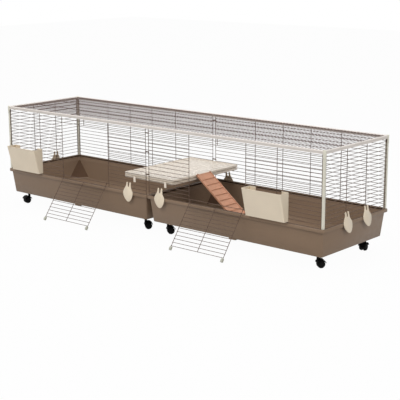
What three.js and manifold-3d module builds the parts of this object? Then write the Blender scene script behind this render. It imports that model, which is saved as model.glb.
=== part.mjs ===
// A ferret cage: two plastic trays on casters, joined end to end under one wire enclosure.
// Millimetres. +X runs along the length, +Y to the back, +Z up. The floor is z = 0.
import * as THREE from "three";
import { ConvexGeometry } from "three/addons/geometries/ConvexGeometry.js";
import { mergeVertices } from "three/addons/utils/BufferGeometryUtils.js";
import Module from "manifold-3d";

const wasm = await Module();
wasm.setup();

// ---------- driving sizes ----------

const CLEARANCE = 0.3; // between pieces that touch
const RUNNING_GAP = 0.8; // between pieces that move past each other

// Tray
const TRAY_LENGTH = 1193; // over the rim
const TRAY_WIDTH = 600; // over the rim, front to back
const TRAY_HEIGHT = 150;
const TRAY_WALL = 2.6;
const TRAY_FLOOR = 3;
const TRAY_TAPER = 13; // the wall leans in this much from top to bottom
const RIM_OVERHANG = 11; // from the wall out to the rim's face
const RIM_DROP = 18; // height of the rim's skirt
const RIM_SKIRT = 2.5;
const CORNER_CUT = 8; // across each bottom corner, running out at the top
const GUSSET_REACH = 92; // the slanting face in each corner, along the floor
const GUSSET_DROP = 34; // from the rim down to that face's tip
const SEAM_GAP = 2; // between the two rims
const MIDDLE_FOOT_LENGTH = 44;
const MIDDLE_FOOT_WIDTH = 26;
const MIDDLE_FOOT_DROP = 6;

// Casters
const CASTER_HEIGHT = 75;
const WHEEL_RADIUS = 21;
const WHEEL_WIDTH = 18;
const CASTER_TRAIL = 15; // from the stem back to the axle
const CASTER_WEB = 4.4; // plate between the two wheels
const AXLE_RADIUS = 3;
const AXLE_BOSS_RADIUS = 7;
const HOOD_THICKNESS = 2.4;
const HOOD_START = 8; // the hood's lower edge, above the axle
const STEM_RADIUS = 8;
const CASTER_PLATE_RADIUS = 19;
const CASTER_PLATE_THICKNESS = 4;
const CASTER_INSET_X = 86; // from the rim's end to the stem
const CASTER_INSET_Y = 82; // from the rim's side to the stem
// Heading of the trailing wheels, in degrees. Four of the eight stand loosely turned.
const CASTER_HEADINGS = [255, 60, 49, 230, 53, 250, 50, 278];
const WHEEL_SIDES = 12;

// Wire panels
const WIRE_PITCH = 21.25;
const WALL_SPACES = 17; // rows of spaces in a wall
const ROW_WIRE = 1.5; // half width of a horizontal wire
const COLUMN_WIRE = 1.8; // half width of a vertical wire
const WELD = 0.5; // how far crossing wires sink into each other
const WIRE_END = 1.4; // how far a wire runs past the last one it crosses
const SEAM_WIRE_X = 11; // from the joint to each cage's last upright wire
const WIRE_INSET = 8; // from the rim's face to the walls' row wires
const ROOF_PITCH = 2 * WIRE_PITCH;
const COLUMN_SHARES = [0.255, 0.424, 0.587, 0.758]; // inner uprights, from the joint to the corner
const END_COLUMN_Y = 90;
const ROOF_WIRE_Y = 94;

// Door, which folds down as a ramp
const DOOR_SILL_ROW = 1;
const DOOR_HEADER_ROW = 16;
const DOOR_RUNGS = 13;
const DOOR_SIDE_GAP = 14; // from the opening's upright to the door's rail
const DOOR_LENGTH = 300; // from the hinge to the tip
const DOOR_FOOT_LENGTH = 21;
const DOOR_FOOT_HALF = 6; // half its thickness
const DOOR_FOOT_OUTER = 4.5; // from the rail towards the opening's upright
const DOOR_FOOT_INNER = 8.5;
const DOOR_FOOT_TIP = 4; // material past the rail's end
const HINGE_RING_RADIUS = 4.4;
const HINGE_RING_WIDTH = 3.6;

// Posts and rails
const POST_WIDTH = 13;
const POST_CAP_WIDTH = 16;
const POST_CAP_HEIGHT = 46;
const POST_CAP_RISE = 2; // above the rails
const RAIL_WIDTH = 12;
const RAIL_HEIGHT = 18;
const RAIL_GAP = 11; // from the top row wire up to the rail
const ROOF_DROP = 6; // from the rail's top down to the roof's long wires

// Ring clips at the joint
const CLIP_ROWS = [5.5, 11.5, 16.5];
const CLIP_WALL = 2.2;
const CLIP_HEIGHT = 6;

// Latch levers
const LATCH_ROW = 2; // the row wire it hangs on
const LATCH_THICKNESS = 5;
const LATCH_LENGTH = 101; // from the hooked wire down to the tip
const LATCH_HALF_WIDTH = 38;
const LATCH_PRONG_RISE = 10; // above the hooked wire
const LATCH_PRONG_OUTER = 16;
const LATCH_PRONG_WIDTH = 9;
const LATCH_SLOT_DEPTH = 12;
// The lever's edge below its prongs, in shares of the half width and of the length, round from the right.
const LATCH_EDGE = [
  [0.58, 0.26], [0.93, 0.4], [1, 0.52], [0.96, 0.67], [0.8, 0.83], [0.57, 0.95], [0.3, 1],
  [0, 0.98], [-0.34, 0.89], [-0.7, 0.75], [-0.92, 0.6], [-0.97, 0.48], [-0.84, 0.34],
];
const LATCH_RIB_REACH = 7; // catch under the rim's skirt
const LATCH_RIB_LENGTH = 24;
const FRONT_LATCH_X = [-143, 100];
const BACK_LATCH_X = [-100, 100];

// Hay racks
const RACK_WIDTH = 249;
const RACK_HEIGHT = 150;
const RACK_TOP_DEPTH = 71;
const RACK_BOTTOM_DEPTH = 34;
const RACK_WALL = 2.2;
const RACK_LIFT = 8; // above the tray's rim
const RACK_FLANGE = 42; // strip beside the open back
const RACK_HOOK_ROW = 6;
const RACK_HOOK_WIDTH = 12;
const RACK_HOOK_INSET = 34; // from the rack's side to the hook's middle
const LEFT_RACK_INSET = 191.5; // from the left end of the rim to the rack's middle
const RIGHT_RACK_INSET = 343.5;

// Platform
const PLATFORM_LENGTH = 374;
const PLATFORM_HEIGHT = 28;
const PLATFORM_TOP = 109; // above the tray's rim
const PLATFORM_SHELL = 4;
const PLATFORM_POCKET = 3; // how far the deck lies under its border
const PLATFORM_BORDER = 12;
const PLATFORM_GROOVE = 3; // depth of the line round its edge
const PLATFORM_GROOVE_HEIGHT = 5;
const PLATFORM_SIDE_GAP = 1.5; // to the wires at the front and back
const PLATFORM_HOOK_ROW = 4;
const PLATFORM_HOOKS_X = [-95, 140];
const PLATFORM_HOOK_WIDTH = 15;
const PLATFORM_HOOK_DROP = 27;
const HOOK_THICKNESS = 3;

// Inner ramp
const RAMP_WIDTH = 119;
const RAMP_Y = -32;
const RAMP_THICKNESS = 8;
const RAMP_ANGLE = THREE.MathUtils.degToRad(38);
const RAMP_BEAD_RADIUS = 4.5;
const RAMP_CLEAT_HEIGHT = 3;
const RAMP_CLEAT_WIDTH = 6;
const RAMP_CLEATS = 9;

// ---------- places worked out from the sizes ----------

const RIM_Z = CASTER_HEIGHT + TRAY_HEIGHT;
const TRAY_CENTRE_X = (TRAY_LENGTH + SEAM_GAP) / 2;
const RIM_END_X = TRAY_CENTRE_X + TRAY_LENGTH / 2;
const RIM_SIDE_Y = TRAY_WIDTH / 2;
const ROW_Y = RIM_SIDE_Y - WIRE_INSET;
const ROW_END_X = RIM_END_X - WIRE_INSET;
const COLUMN_OFFSET = ROW_WIRE + COLUMN_WIRE - WELD; // uprights stand inside the rows
const COLUMN_INNER_Y = ROW_Y - COLUMN_OFFSET - COLUMN_WIRE;
const POST_X = ROW_END_X + ROW_WIRE - POST_WIDTH / 2;
const POST_Y = ROW_Y + ROW_WIRE - POST_WIDTH / 2;
const WALL_TOP_Z = rowZ(WALL_SPACES) + ROW_WIRE;
const RAIL_Z = WALL_TOP_Z + RAIL_GAP;
const RAIL_TOP_Z = RAIL_Z + RAIL_HEIGHT;
const ROOF_Z = RAIL_TOP_Z - ROOF_DROP;
const CAP_HALF = POST_CAP_WIDTH / 2;

const HINGE_Z = rowZ(DOOR_SILL_ROW);
const DOOR_OUTER_X = columnX(COLUMN_SHARES[2]);
const DOOR_INNER_X = columnX(COLUMN_SHARES[0]);
const DOOR_MIDDLE_X = columnX(COLUMN_SHARES[1]);
const DOOR_SLOPE =
  Math.asin(HINGE_Z / Math.hypot(DOOR_LENGTH, DOOR_FOOT_HALF)) - Math.atan(DOOR_FOOT_HALF / DOOR_LENGTH);

const LATCH_FACE = ROW_WIRE + CLEARANCE; // from the hooked wire's middle to the lever's inner face
const LATCH_DROP = rowZ(LATCH_ROW) - RIM_Z;
const LATCH_LEAN =
  Math.acos((LATCH_FACE - CLEARANCE) / Math.hypot(WIRE_INSET, LATCH_DROP)) -
  Math.atan(LATCH_DROP / WIRE_INSET);
const LATCH_REACH =
  (LATCH_FACE + LATCH_THICKNESS) * Math.cos(LATCH_LEAN) + LATCH_LENGTH * Math.sin(LATCH_LEAN);

// The door's tip reaches furthest to the front and the latch levers furthest to the back.
const FRONT_REACH = ROW_Y + DOOR_LENGTH * Math.cos(DOOR_SLOPE) + DOOR_FOOT_HALF * Math.sin(DOOR_SLOPE);
const BACK_REACH = ROW_Y + LATCH_REACH;
const ORIGIN_SHIFT = (FRONT_REACH - BACK_REACH) / 2;

/** Height of a wall's row wire, counted from the tray's rim. */
function rowZ(row) {
  return CASTER_HEIGHT + TRAY_HEIGHT + CLEARANCE + ROW_WIRE + row * WIRE_PITCH;
}

/** Distance from the joint to an upright wire, by its share of the cage's length. */
function columnX(share) {
  return SEAM_WIRE_X + share * (POST_X - SEAM_WIRE_X);
}

// ---------- solids ----------

/** The geometry as a solid that can be joined and cut. */
function solidOf(geometry) {
  const plain = geometry.clone();
  plain.deleteAttribute("normal");
  plain.deleteAttribute("uv");
  const merged = mergeVertices(plain, 1e-4);
  return new wasm.Manifold(
    new wasm.Mesh({
      numProp: 3,
      vertProperties: new Float32Array(merged.attributes.position.array),
      triVerts: new Uint32Array(merged.index.array),
    }),
  );
}

/** The solid as geometry again. */
function geometryOf(solid) {
  const mesh = solid.getMesh();
  const geometry = new THREE.BufferGeometry();
  geometry.setAttribute("position", new THREE.BufferAttribute(mesh.vertProperties, mesh.numProp));
  geometry.setIndex(new THREE.BufferAttribute(mesh.triVerts, 1));
  geometry.computeVertexNormals();
  return geometry;
}

function join(solids) {
  return solids.reduce((whole, next) => whole.add(next));
}

function box(x0, x1, y0, y1, z0, z1) {
  const geometry = new THREE.BoxGeometry(x1 - x0, y1 - y0, z1 - z0);
  geometry.translate((x0 + x1) / 2, (y0 + y1) / 2, (z0 + z1) / 2);
  return solidOf(geometry);
}

/** A wire of diamond section from a start point along x, y or z, with its ridges facing the axes. */
function wire(axis, start, length, radius) {
  const geometry = new THREE.CylinderGeometry(radius, radius, length, 4);
  geometry.translate(0, length / 2, 0);
  if (axis === "x") geometry.rotateZ(-Math.PI / 2);
  if (axis === "z") geometry.rotateX(Math.PI / 2);
  geometry.translate(...start);
  return solidOf(geometry);
}

/** A disc or bar along x, y or z, centred on a point, with a flat facing down where it lies. */
function cylinder(axis, centre, radius, length, sides) {
  const geometry = new THREE.CylinderGeometry(radius, radius, length, sides);
  geometry.rotateY(Math.PI / sides);
  if (axis === "x") geometry.rotateZ(-Math.PI / 2);
  if (axis === "z") geometry.rotateX(Math.PI / 2);
  geometry.translate(...centre);
  return solidOf(geometry);
}

/** An outline in x and z, extruded along y between two places. */
function slab(shape, y0, y1) {
  const depth = y1 - y0;
  const geometry = new THREE.ExtrudeGeometry(shape, { depth, bevelEnabled: false, curveSegments: 6 });
  geometry.rotateX(Math.PI / 2);
  geometry.translate(0, y1, 0);
  return solidOf(geometry);
}

/** An outline in y and z, extruded along x between two places. */
function profile(points, x0, x1) {
  const shape = new THREE.Shape(points.map(([y, z]) => new THREE.Vector2(y, z)));
  const geometry = new THREE.ExtrudeGeometry(shape, { depth: x1 - x0, bevelEnabled: false });
  geometry.rotateX(Math.PI / 2);
  geometry.rotateZ(Math.PI / 2);
  geometry.translate(x0, 0, 0);
  return solidOf(geometry);
}

// ---------- materials ----------

const TAUPE = { color: 0x83715f, roughness: 0.55, metalness: 0 };
const CREAM = { color: 0xdaccb6, roughness: 0.5, metalness: 0 };
const BLACK = { color: 0x141312, roughness: 0.45, metalness: 0 };
const WIRE = { color: 0x4d4640, roughness: 0.4, metalness: 0.6 };
const TERRACOTTA = { color: 0xc58c70, roughness: 0.7, metalness: 0 };

const cage = new THREE.Group();

/** Adds a named piece with a material of its own, and returns it for placing. */
function addPiece(name, solid, look, parent = cage) {
  const piece = new THREE.Mesh(geometryOf(solid), new THREE.MeshStandardMaterial(look));
  piece.name = name;
  parent.add(piece);
  return piece;
}

// ---------- trays ----------

/** Four top corners and a bottom whose corners are cut off: a tray's outside, or its inside. */
function taperedTub(halfX, halfY, taper, cut, topZ, bottomZ) {
  const points = [];
  for (const sx of [-1, 1]) {
    for (const sy of [-1, 1]) {
      points.push(new THREE.Vector3(sx * halfX, sy * halfY, topZ));
      points.push(new THREE.Vector3(sx * (halfX - taper - cut), sy * (halfY - taper), bottomZ));
      points.push(new THREE.Vector3(sx * (halfX - taper), sy * (halfY - taper - cut), bottomZ));
    }
  }
  return solidOf(new ConvexGeometry(points));
}

/** The part of a solid on the plane's positive side. */
function trimmed(solid, plane) {
  return solid.trimByPlane(plane.normal.toArray(), -plane.constant);
}

/** The four slanting corner planes inside a tray, facing its middle. The half sizes are those at the top. */
function gussetPlanes(halfX, halfY, topZ, floorZ) {
  const tipZ = RIM_Z - GUSSET_DROP;
  const tipLean = (TRAY_TAPER * (topZ - tipZ)) / (topZ - floorZ);
  const footX = halfX - TRAY_TAPER;
  const footY = halfY - TRAY_TAPER;
  const planes = [];
  for (const sx of [-1, 1]) {
    for (const sy of [-1, 1]) {
      const tip = new THREE.Vector3(sx * (halfX - tipLean), sy * (halfY - tipLean), tipZ);
      const footAlongX = new THREE.Vector3(sx * (footX - GUSSET_REACH), sy * footY, floorZ);
      const footAlongY = new THREE.Vector3(sx * footX, sy * (footY - GUSSET_REACH), floorZ);
      const plane = new THREE.Plane().setFromCoplanarPoints(tip, footAlongX, footAlongY);
      const middle = new THREE.Vector3(0, 0, floorZ);
      planes.push(plane.distanceToPoint(middle) > 0 ? plane : plane.negate());
    }
  }
  return planes;
}

/** A thin tray under an outward rim. The slanting corners inside are hollow and open below. */
function traySolid() {
  const halfX = TRAY_LENGTH / 2;
  const halfY = TRAY_WIDTH / 2;
  const wallX = halfX - RIM_OVERHANG;
  const wallY = halfY - RIM_OVERHANG;
  const rim = box(-halfX, halfX, -halfY, halfY, RIM_Z - RIM_DROP, RIM_Z);
  const underRim = box(
    RIM_SKIRT - halfX,
    halfX - RIM_SKIRT,
    RIM_SKIRT - halfY,
    halfY - RIM_SKIRT,
    RIM_Z - RIM_DROP - 1,
    RIM_Z - RIM_SKIRT,
  );
  const tub = taperedTub(wallX, wallY, TRAY_TAPER, CORNER_CUT, RIM_Z - RIM_SKIRT / 2, CASTER_HEIGHT);
  const roomX = wallX - TRAY_WALL;
  const roomY = wallY - TRAY_WALL;
  const topZ = RIM_Z + TRAY_FLOOR;
  const floorZ = CASTER_HEIGHT + TRAY_FLOOR;
  const underZ = CASTER_HEIGHT - 1;
  const innerCut = CORNER_CUT - TRAY_WALL;
  const planes = gussetPlanes(roomX, roomY, topZ, floorZ);
  const room = planes.reduce(trimmed, taperedTub(roomX, roomY, TRAY_TAPER, innerCut, topZ, floorZ));
  const fullTaper = (TRAY_TAPER * (topZ - underZ)) / (topZ - floorZ);
  const between = taperedTub(roomX, roomY, fullTaper, innerCut, topZ, underZ);
  const hollows = planes.map((plane) => {
    const outer = plane.clone().negate();
    outer.constant -= TRAY_WALL;
    return trimmed(between, outer);
  });
  const footY = wallY - TRAY_TAPER - MIDDLE_FOOT_WIDTH;
  const feet = [-1, 1].map((side) =>
    box(
      -MIDDLE_FOOT_LENGTH / 2,
      MIDDLE_FOOT_LENGTH / 2,
      side > 0 ? footY : -footY - MIDDLE_FOOT_WIDTH,
      side > 0 ? footY + MIDDLE_FOOT_WIDTH : -footY,
      CASTER_HEIGHT - MIDDLE_FOOT_DROP,
      CASTER_HEIGHT + TRAY_FLOOR / 2,
    ),
  );
  return join([rim.subtract(underRim), tub, ...feet]).subtract(join([room, ...hollows]));
}

for (const [side, sign] of [["left", -1], ["right", 1]]) {
  addPiece(`tray_${side}`, traySolid(), TAUPE).position.x = sign * TRAY_CENTRE_X;
}

// ---------- casters ----------

/** The caster's frame has its stem at the origin, its wheels trailing along x and its axle along y. */
function casterWheels() {
  const vertexRadius = WHEEL_RADIUS / Math.cos(Math.PI / WHEEL_SIDES);
  const wheelY = CASTER_WEB / 2 + RUNNING_GAP + WHEEL_WIDTH / 2;
  const wheels = [-1, 1].map((side) =>
    cylinder("y", [CASTER_TRAIL, side * wheelY, WHEEL_RADIUS], vertexRadius, WHEEL_WIDTH, WHEEL_SIDES),
  );
  const axle = cylinder("y", [CASTER_TRAIL, 0, WHEEL_RADIUS], AXLE_RADIUS, 2 * wheelY, 8);
  return join([...wheels, axle]);
}

function casterHood() {
  const axle = [CASTER_TRAIL, 0, WHEEL_RADIUS];
  const width = CASTER_WEB + 2 * (2 * RUNNING_GAP + WHEEL_WIDTH);
  const innerRadius = WHEEL_RADIUS / Math.cos(Math.PI / WHEEL_SIDES) + 2 * RUNNING_GAP;
  const outerRadius = innerRadius + HOOD_THICKNESS;
  const topZ = CASTER_HEIGHT - CLEARANCE;
  const shell = cylinder("y", axle, outerRadius, width, WHEEL_SIDES);
  const stemStart = WHEEL_RADIUS + HOOD_START;
  const stem = cylinder("z", [0, 0, (stemStart + topZ) / 2], STEM_RADIUS, topZ - stemStart, 12);
  const plateZ = topZ - CASTER_PLATE_THICKNESS / 2;
  const plate = cylinder("z", [0, 0, plateZ], CASTER_PLATE_RADIUS, CASTER_PLATE_THICKNESS, 12);
  const wheelRoom = cylinder("y", axle, innerRadius, width + 2, WHEEL_SIDES);
  const farSide = CASTER_TRAIL + 2 * outerRadius;
  const below = box(-farSide, farSide, -width, width, -outerRadius, stemStart);
  const webReach = innerRadius + HOOD_THICKNESS / 2;
  const web = new THREE.Shape();
  web.absarc(CASTER_TRAIL, WHEEL_RADIUS, AXLE_BOSS_RADIUS, Math.PI, 2 * Math.PI, false);
  for (const angle of [Math.PI / 3, (5 * Math.PI) / 6]) {
    web.lineTo(CASTER_TRAIL + webReach * Math.cos(angle), WHEEL_RADIUS + webReach * Math.sin(angle));
  }
  const axleHole = cylinder("y", axle, AXLE_RADIUS + 3 * CLEARANCE, width, 8);
  const webPlate = slab(web, -CASTER_WEB / 2, CASTER_WEB / 2).subtract(axleHole);
  return join([shell.subtract(below), stem, plate]).subtract(wheelRoom).add(webPlate);
}

const CORNERS = [["front", -1], ["back", 1]];
let casterNumber = 0;
for (const trayX of [-TRAY_CENTRE_X, TRAY_CENTRE_X]) {
  for (const endX of [-1, 1]) {
    for (const [, sideY] of CORNERS) {
      casterNumber += 1;
      const caster = new THREE.Group();
      caster.position.x = trayX + endX * (TRAY_LENGTH / 2 - CASTER_INSET_X);
      caster.position.y = sideY * (RIM_SIDE_Y - CASTER_INSET_Y);
      caster.rotation.z = THREE.MathUtils.degToRad(CASTER_HEADINGS[casterNumber - 1]);
      addPiece(`caster_hood_${casterNumber}`, casterHood(), BLACK, caster);
      addPiece(`caster_wheels_${casterNumber}`, casterWheels(), BLACK, caster);
      cage.add(caster);
    }
  }
}

// ---------- wire panels ----------

/** Row wires in front of upright wires, welded where they cross. Each is placed by its two ends. */
function grid(rows, columns, y) {
  const rowWires = rows.map(([z, x0, x1]) => wire("x", [x0, y, z], x1 - x0, ROW_WIRE));
  const columnY = y + COLUMN_OFFSET;
  const columnWires = columns.map(([x, z0, z1]) => wire("z", [x, columnY, z0], z1 - z0, COLUMN_WIRE));
  return join([...columnWires, ...rowWires]);
}

const LONG_PANEL_END_X = POST_X - POST_WIDTH / 2 - CLEARANCE;
const COLUMN_FOOT = rowZ(0) - WIRE_END;
const COLUMN_HEAD = RAIL_Z - CLEARANCE;

/** The upright wires of a long panel: one at each end, and the inner ones. */
function longPanelColumns(shares) {
  const places = [SEAM_WIRE_X, ...shares.map(columnX), LONG_PANEL_END_X - COLUMN_WIRE - WIRE_END];
  return places.map((x) => [x, COLUMN_FOOT, COLUMN_HEAD]);
}

const PANEL_START_X = SEAM_WIRE_X - COLUMN_WIRE;

/** The front panel of the right-hand cage, with an opening for its door. */
function frontPanel() {
  const rows = [];
  for (let row = 0; row <= WALL_SPACES; row += 1) {
    const z = rowZ(row);
    if (row <= DOOR_SILL_ROW || row >= DOOR_HEADER_ROW) {
      rows.push([z, PANEL_START_X, LONG_PANEL_END_X]);
    } else {
      rows.push([z, PANEL_START_X, DOOR_INNER_X + WIRE_END]);
      rows.push([z, DOOR_OUTER_X - WIRE_END, LONG_PANEL_END_X]);
    }
  }
  const columns = longPanelColumns(COLUMN_SHARES.filter((share, place) => place !== 1));
  columns.push([DOOR_MIDDLE_X, rowZ(DOOR_HEADER_ROW) - WIRE_END, COLUMN_HEAD]);
  return grid(rows, columns, -ROW_Y);
}

function backPanel() {
  const rows = [];
  for (let row = 0; row <= WALL_SPACES; row += 1) {
    rows.push([rowZ(row), PANEL_START_X, LONG_PANEL_END_X]);
  }
  return grid(rows, longPanelColumns(COLUMN_SHARES), -ROW_Y);
}

function endPanel() {
  const half = POST_Y - POST_WIDTH / 2 - CLEARANCE;
  const rows = [];
  for (let row = 0; row <= WALL_SPACES; row += 1) rows.push([rowZ(row), -half, half]);
  const edge = half - COLUMN_WIRE - WIRE_END;
  const columns = [-edge, -END_COLUMN_Y, END_COLUMN_Y, edge].map((x) => [x, COLUMN_FOOT, COLUMN_HEAD]);
  return grid(rows, columns, -ROW_END_X);
}

/** Cross wires lie on the long wires, inside the top rails. */
function roofPanel() {
  const halfY = POST_Y - RAIL_WIDTH / 2 - CLEARANCE;
  const endX = POST_X - RAIL_WIDTH / 2 - CLEARANCE;
  const crossings = Math.floor((endX - COLUMN_WIRE - WIRE_END - SEAM_WIRE_X) / ROOF_PITCH);
  const edgeY = halfY - COLUMN_WIRE - WIRE_END;
  const lengthways = [-edgeY, -ROOF_WIRE_Y, ROOF_WIRE_Y, edgeY];
  const wires = lengthways.map((y) =>
    wire("x", [SEAM_WIRE_X - WIRE_END, y, ROOF_Z], endX - SEAM_WIRE_X + WIRE_END, COLUMN_WIRE),
  );
  for (let i = 0; i <= crossings; i += 1) {
    const start = [SEAM_WIRE_X + i * ROOF_PITCH, -halfY, ROOF_Z + COLUMN_OFFSET];
    wires.push(wire("y", start, 2 * halfY, ROW_WIRE));
  }
  return join(wires);
}

/** The same panel for the other cage, reversed about the joint. */
function mirrored(solid) {
  return solid.mirror([1, 0, 0]);
}

addPiece("front_panel_left", mirrored(frontPanel()), WIRE);
addPiece("front_panel_right", frontPanel(), WIRE);
addPiece("back_panel_left", backPanel(), WIRE).rotation.z = Math.PI;
addPiece("back_panel_right", mirrored(backPanel()), WIRE).rotation.z = Math.PI;
addPiece("end_panel_left", endPanel(), WIRE).rotation.z = -Math.PI / 2;
addPiece("end_panel_right", endPanel(), WIRE).rotation.z = Math.PI / 2;
addPiece("roof_panel_left", mirrored(roofPanel()), WIRE);
addPiece("roof_panel_right", roofPanel(), WIRE);

// ---------- doors ----------

/** A door in its own frame: x as in the cage, rails running down -y from the hinge at the origin. */
function doorSolid() {
  const railEnd = DOOR_LENGTH - DOOR_FOOT_TIP;
  const railX = [DOOR_INNER_X + DOOR_SIDE_GAP, DOOR_OUTER_X - DOOR_SIDE_GAP];
  const ringBore = ROW_WIRE + 2 * CLEARANCE;
  const lastRung = DOOR_RUNGS * WIRE_PITCH;
  const parts = railX.map((x) => wire("y", [x, -railEnd, 0], railEnd - ringBore - 1, COLUMN_WIRE));
  const middleStart = WIRE_PITCH - WIRE_END;
  const middleLength = lastRung + WIRE_END - middleStart;
  parts.push(wire("y", [DOOR_MIDDLE_X, -lastRung - WIRE_END, 0], middleLength, COLUMN_WIRE));
  for (let rung = 1; rung <= DOOR_RUNGS; rung += 1) {
    const start = [railX[0] - WIRE_END, -rung * WIRE_PITCH, COLUMN_OFFSET];
    parts.push(wire("x", start, railX[1] - railX[0] + 2 * WIRE_END, ROW_WIRE));
  }
  const rings = railX.map((x) =>
    cylinder("x", [x, 0, 0], HINGE_RING_RADIUS, HINGE_RING_WIDTH, 8).subtract(
      cylinder("x", [x, 0, 0], ringBore / Math.cos(Math.PI / 8), 2 * HINGE_RING_WIDTH, 8),
    ),
  );
  return join([...parts, ...rings]);
}

/** The plastic end piece that the rail's tip sits in. */
function doorFoot(railX, towardsMiddle) {
  const near = railX - towardsMiddle * DOOR_FOOT_OUTER;
  const far = railX + towardsMiddle * DOOR_FOOT_INNER;
  const railRoom = COLUMN_WIRE + 2 * CLEARANCE;
  const block = box(
    Math.min(near, far),
    Math.max(near, far),
    -DOOR_LENGTH,
    -DOOR_LENGTH + DOOR_FOOT_LENGTH,
    -DOOR_FOOT_HALF,
    DOOR_FOOT_HALF,
  );
  const socketLength = DOOR_FOOT_LENGTH - DOOR_FOOT_TIP + CLEARANCE;
  const socket = wire("y", [railX, -DOOR_LENGTH + DOOR_FOOT_TIP - CLEARANCE, 0], socketLength + 1, railRoom);
  return block.subtract(socket);
}

for (const [side, sign] of [["left", -1], ["right", 1]]) {
  const door = new THREE.Group();
  door.position.set(0, -ROW_Y, HINGE_Z);
  door.rotation.x = DOOR_SLOPE;
  const place = (solid) => (sign < 0 ? mirrored(solid) : solid);
  const innerFoot = doorFoot(DOOR_INNER_X + DOOR_SIDE_GAP, 1);
  const outerFoot = doorFoot(DOOR_OUTER_X - DOOR_SIDE_GAP, -1);
  addPiece(`door_${side}`, place(doorSolid()), WIRE, door);
  addPiece(`door_foot_inner_${side}`, place(innerFoot), CREAM, door);
  addPiece(`door_foot_outer_${side}`, place(outerFoot), CREAM, door);
  cage.add(door);
}

// ---------- corner posts and top rails ----------

function postSolid() {
  const half = POST_WIDTH / 2;
  const capTop = RAIL_TOP_Z + POST_CAP_RISE;
  const column = box(-half, half, -half, half, RIM_Z + CLEARANCE, capTop - 1);
  const cap = box(-half, CAP_HALF, -half, CAP_HALF, capTop - POST_CAP_HEIGHT, capTop);
  return column.add(cap);
}

for (const [end, signX] of [["left", -1], ["right", 1]]) {
  for (const [side, signY] of CORNERS) {
    const facing = signX > 0 ? postSolid() : mirrored(postSolid());
    const turned = signY > 0 ? facing : facing.mirror([0, 1, 0]);
    addPiece(`corner_post_${side}_${end}`, turned, CREAM).position.set(signX * POST_X, signY * POST_Y, 0);
  }
}

const RAIL_END_X = POST_X - POST_WIDTH / 2 - CLEARANCE;
const RAIL_END_Y = POST_Y - POST_WIDTH / 2 - CLEARANCE;
for (const [side, signY] of CORNERS) {
  const y = signY * POST_Y;
  const rail = box(CLEARANCE / 2, RAIL_END_X, y - RAIL_WIDTH / 2, y + RAIL_WIDTH / 2, RAIL_Z, RAIL_TOP_Z);
  addPiece(`top_rail_${side}_right`, rail, CREAM);
  addPiece(`top_rail_${side}_left`, mirrored(rail), CREAM);
}
for (const [end, signX] of [["left", -1], ["right", 1]]) {
  const x = signX * POST_X;
  const rail = box(x - RAIL_WIDTH / 2, x + RAIL_WIDTH / 2, -RAIL_END_Y, RAIL_END_Y, RAIL_Z, RAIL_TOP_Z);
  addPiece(`top_rail_end_${end}`, rail, CREAM);
}

// ---------- ring clips at the joint ----------

function clipSolid() {
  const innerX = SEAM_WIRE_X + COLUMN_WIRE + CLEARANCE;
  const innerY = COLUMN_WIRE + CLEARANCE;
  const outerX = innerX + CLIP_WALL;
  const outerY = innerY + CLIP_WALL;
  const outer = box(-outerX, outerX, -outerY, outerY, 0, CLIP_HEIGHT);
  return outer.subtract(box(-innerX, innerX, -innerY, innerY, -1, CLIP_HEIGHT + 1));
}

for (const [side, signY] of CORNERS) {
  CLIP_ROWS.forEach((row, place) => {
    const clip = addPiece(`seam_clip_${side}_${place + 1}`, clipSolid(), WIRE);
    clip.position.set(0, signY * (ROW_Y - COLUMN_OFFSET), rowZ(row) - CLIP_HEIGHT / 2);
  });
}

// ---------- latch levers ----------

/** A lever, its hooked wire at the origin: x along the tray's edge, z up, its inner face towards +y. */
function latchSolid() {
  const slotX = LATCH_PRONG_OUTER - LATCH_PRONG_WIDTH;
  const outline = new THREE.Shape();
  outline.moveTo(slotX, LATCH_PRONG_RISE);
  outline.lineTo(LATCH_PRONG_OUTER, LATCH_PRONG_RISE);
  outline.lineTo(LATCH_PRONG_OUTER + 2, -LATCH_SLOT_DEPTH);
  for (const [across, down] of LATCH_EDGE) outline.lineTo(across * LATCH_HALF_WIDTH, -down * LATCH_LENGTH);
  outline.lineTo(-LATCH_PRONG_OUTER - 2, -LATCH_SLOT_DEPTH);
  outline.lineTo(-LATCH_PRONG_OUTER, LATCH_PRONG_RISE);
  outline.lineTo(-slotX, LATCH_PRONG_RISE);
  outline.lineTo(-slotX, -LATCH_SLOT_DEPTH);
  outline.lineTo(slotX, -LATCH_SLOT_DEPTH);
  const plate = slab(outline, -LATCH_FACE - LATCH_THICKNESS, -LATCH_FACE);
  const hookTop = ROW_WIRE + CLEARANCE + HOOK_THICKNESS;
  const hooks = [-1, 1].map((side) =>
    box(
      side > 0 ? slotX : -LATCH_PRONG_OUTER,
      side > 0 ? LATCH_PRONG_OUTER : -slotX,
      -LATCH_FACE - LATCH_THICKNESS / 2,
      ROW_WIRE,
      ROW_WIRE + CLEARANCE,
      hookTop,
    ),
  );
  const skirtBottom = LATCH_DROP + RIM_DROP;
  const ribZ = -(skirtBottom + RUNNING_GAP) * Math.cos(LATCH_LEAN) - HOOK_THICKNESS - RUNNING_GAP;
  const rib = box(
    -LATCH_RIB_LENGTH / 2,
    LATCH_RIB_LENGTH / 2,
    -LATCH_FACE - LATCH_THICKNESS / 2,
    -LATCH_FACE + LATCH_RIB_REACH,
    ribZ - HOOK_THICKNESS,
    ribZ,
  );
  return join([plate, ...hooks, rib]);
}

/** Hangs a lever on a wall that faces the given way, at a place along that wall. */
function addLatch(name, facing, along, distance) {
  const wall = new THREE.Group();
  wall.rotation.z = facing;
  const latch = addPiece(name, latchSolid(), CREAM, wall);
  latch.position.set(along, -distance, rowZ(LATCH_ROW));
  latch.rotation.x = -LATCH_LEAN;
  cage.add(wall);
}

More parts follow.
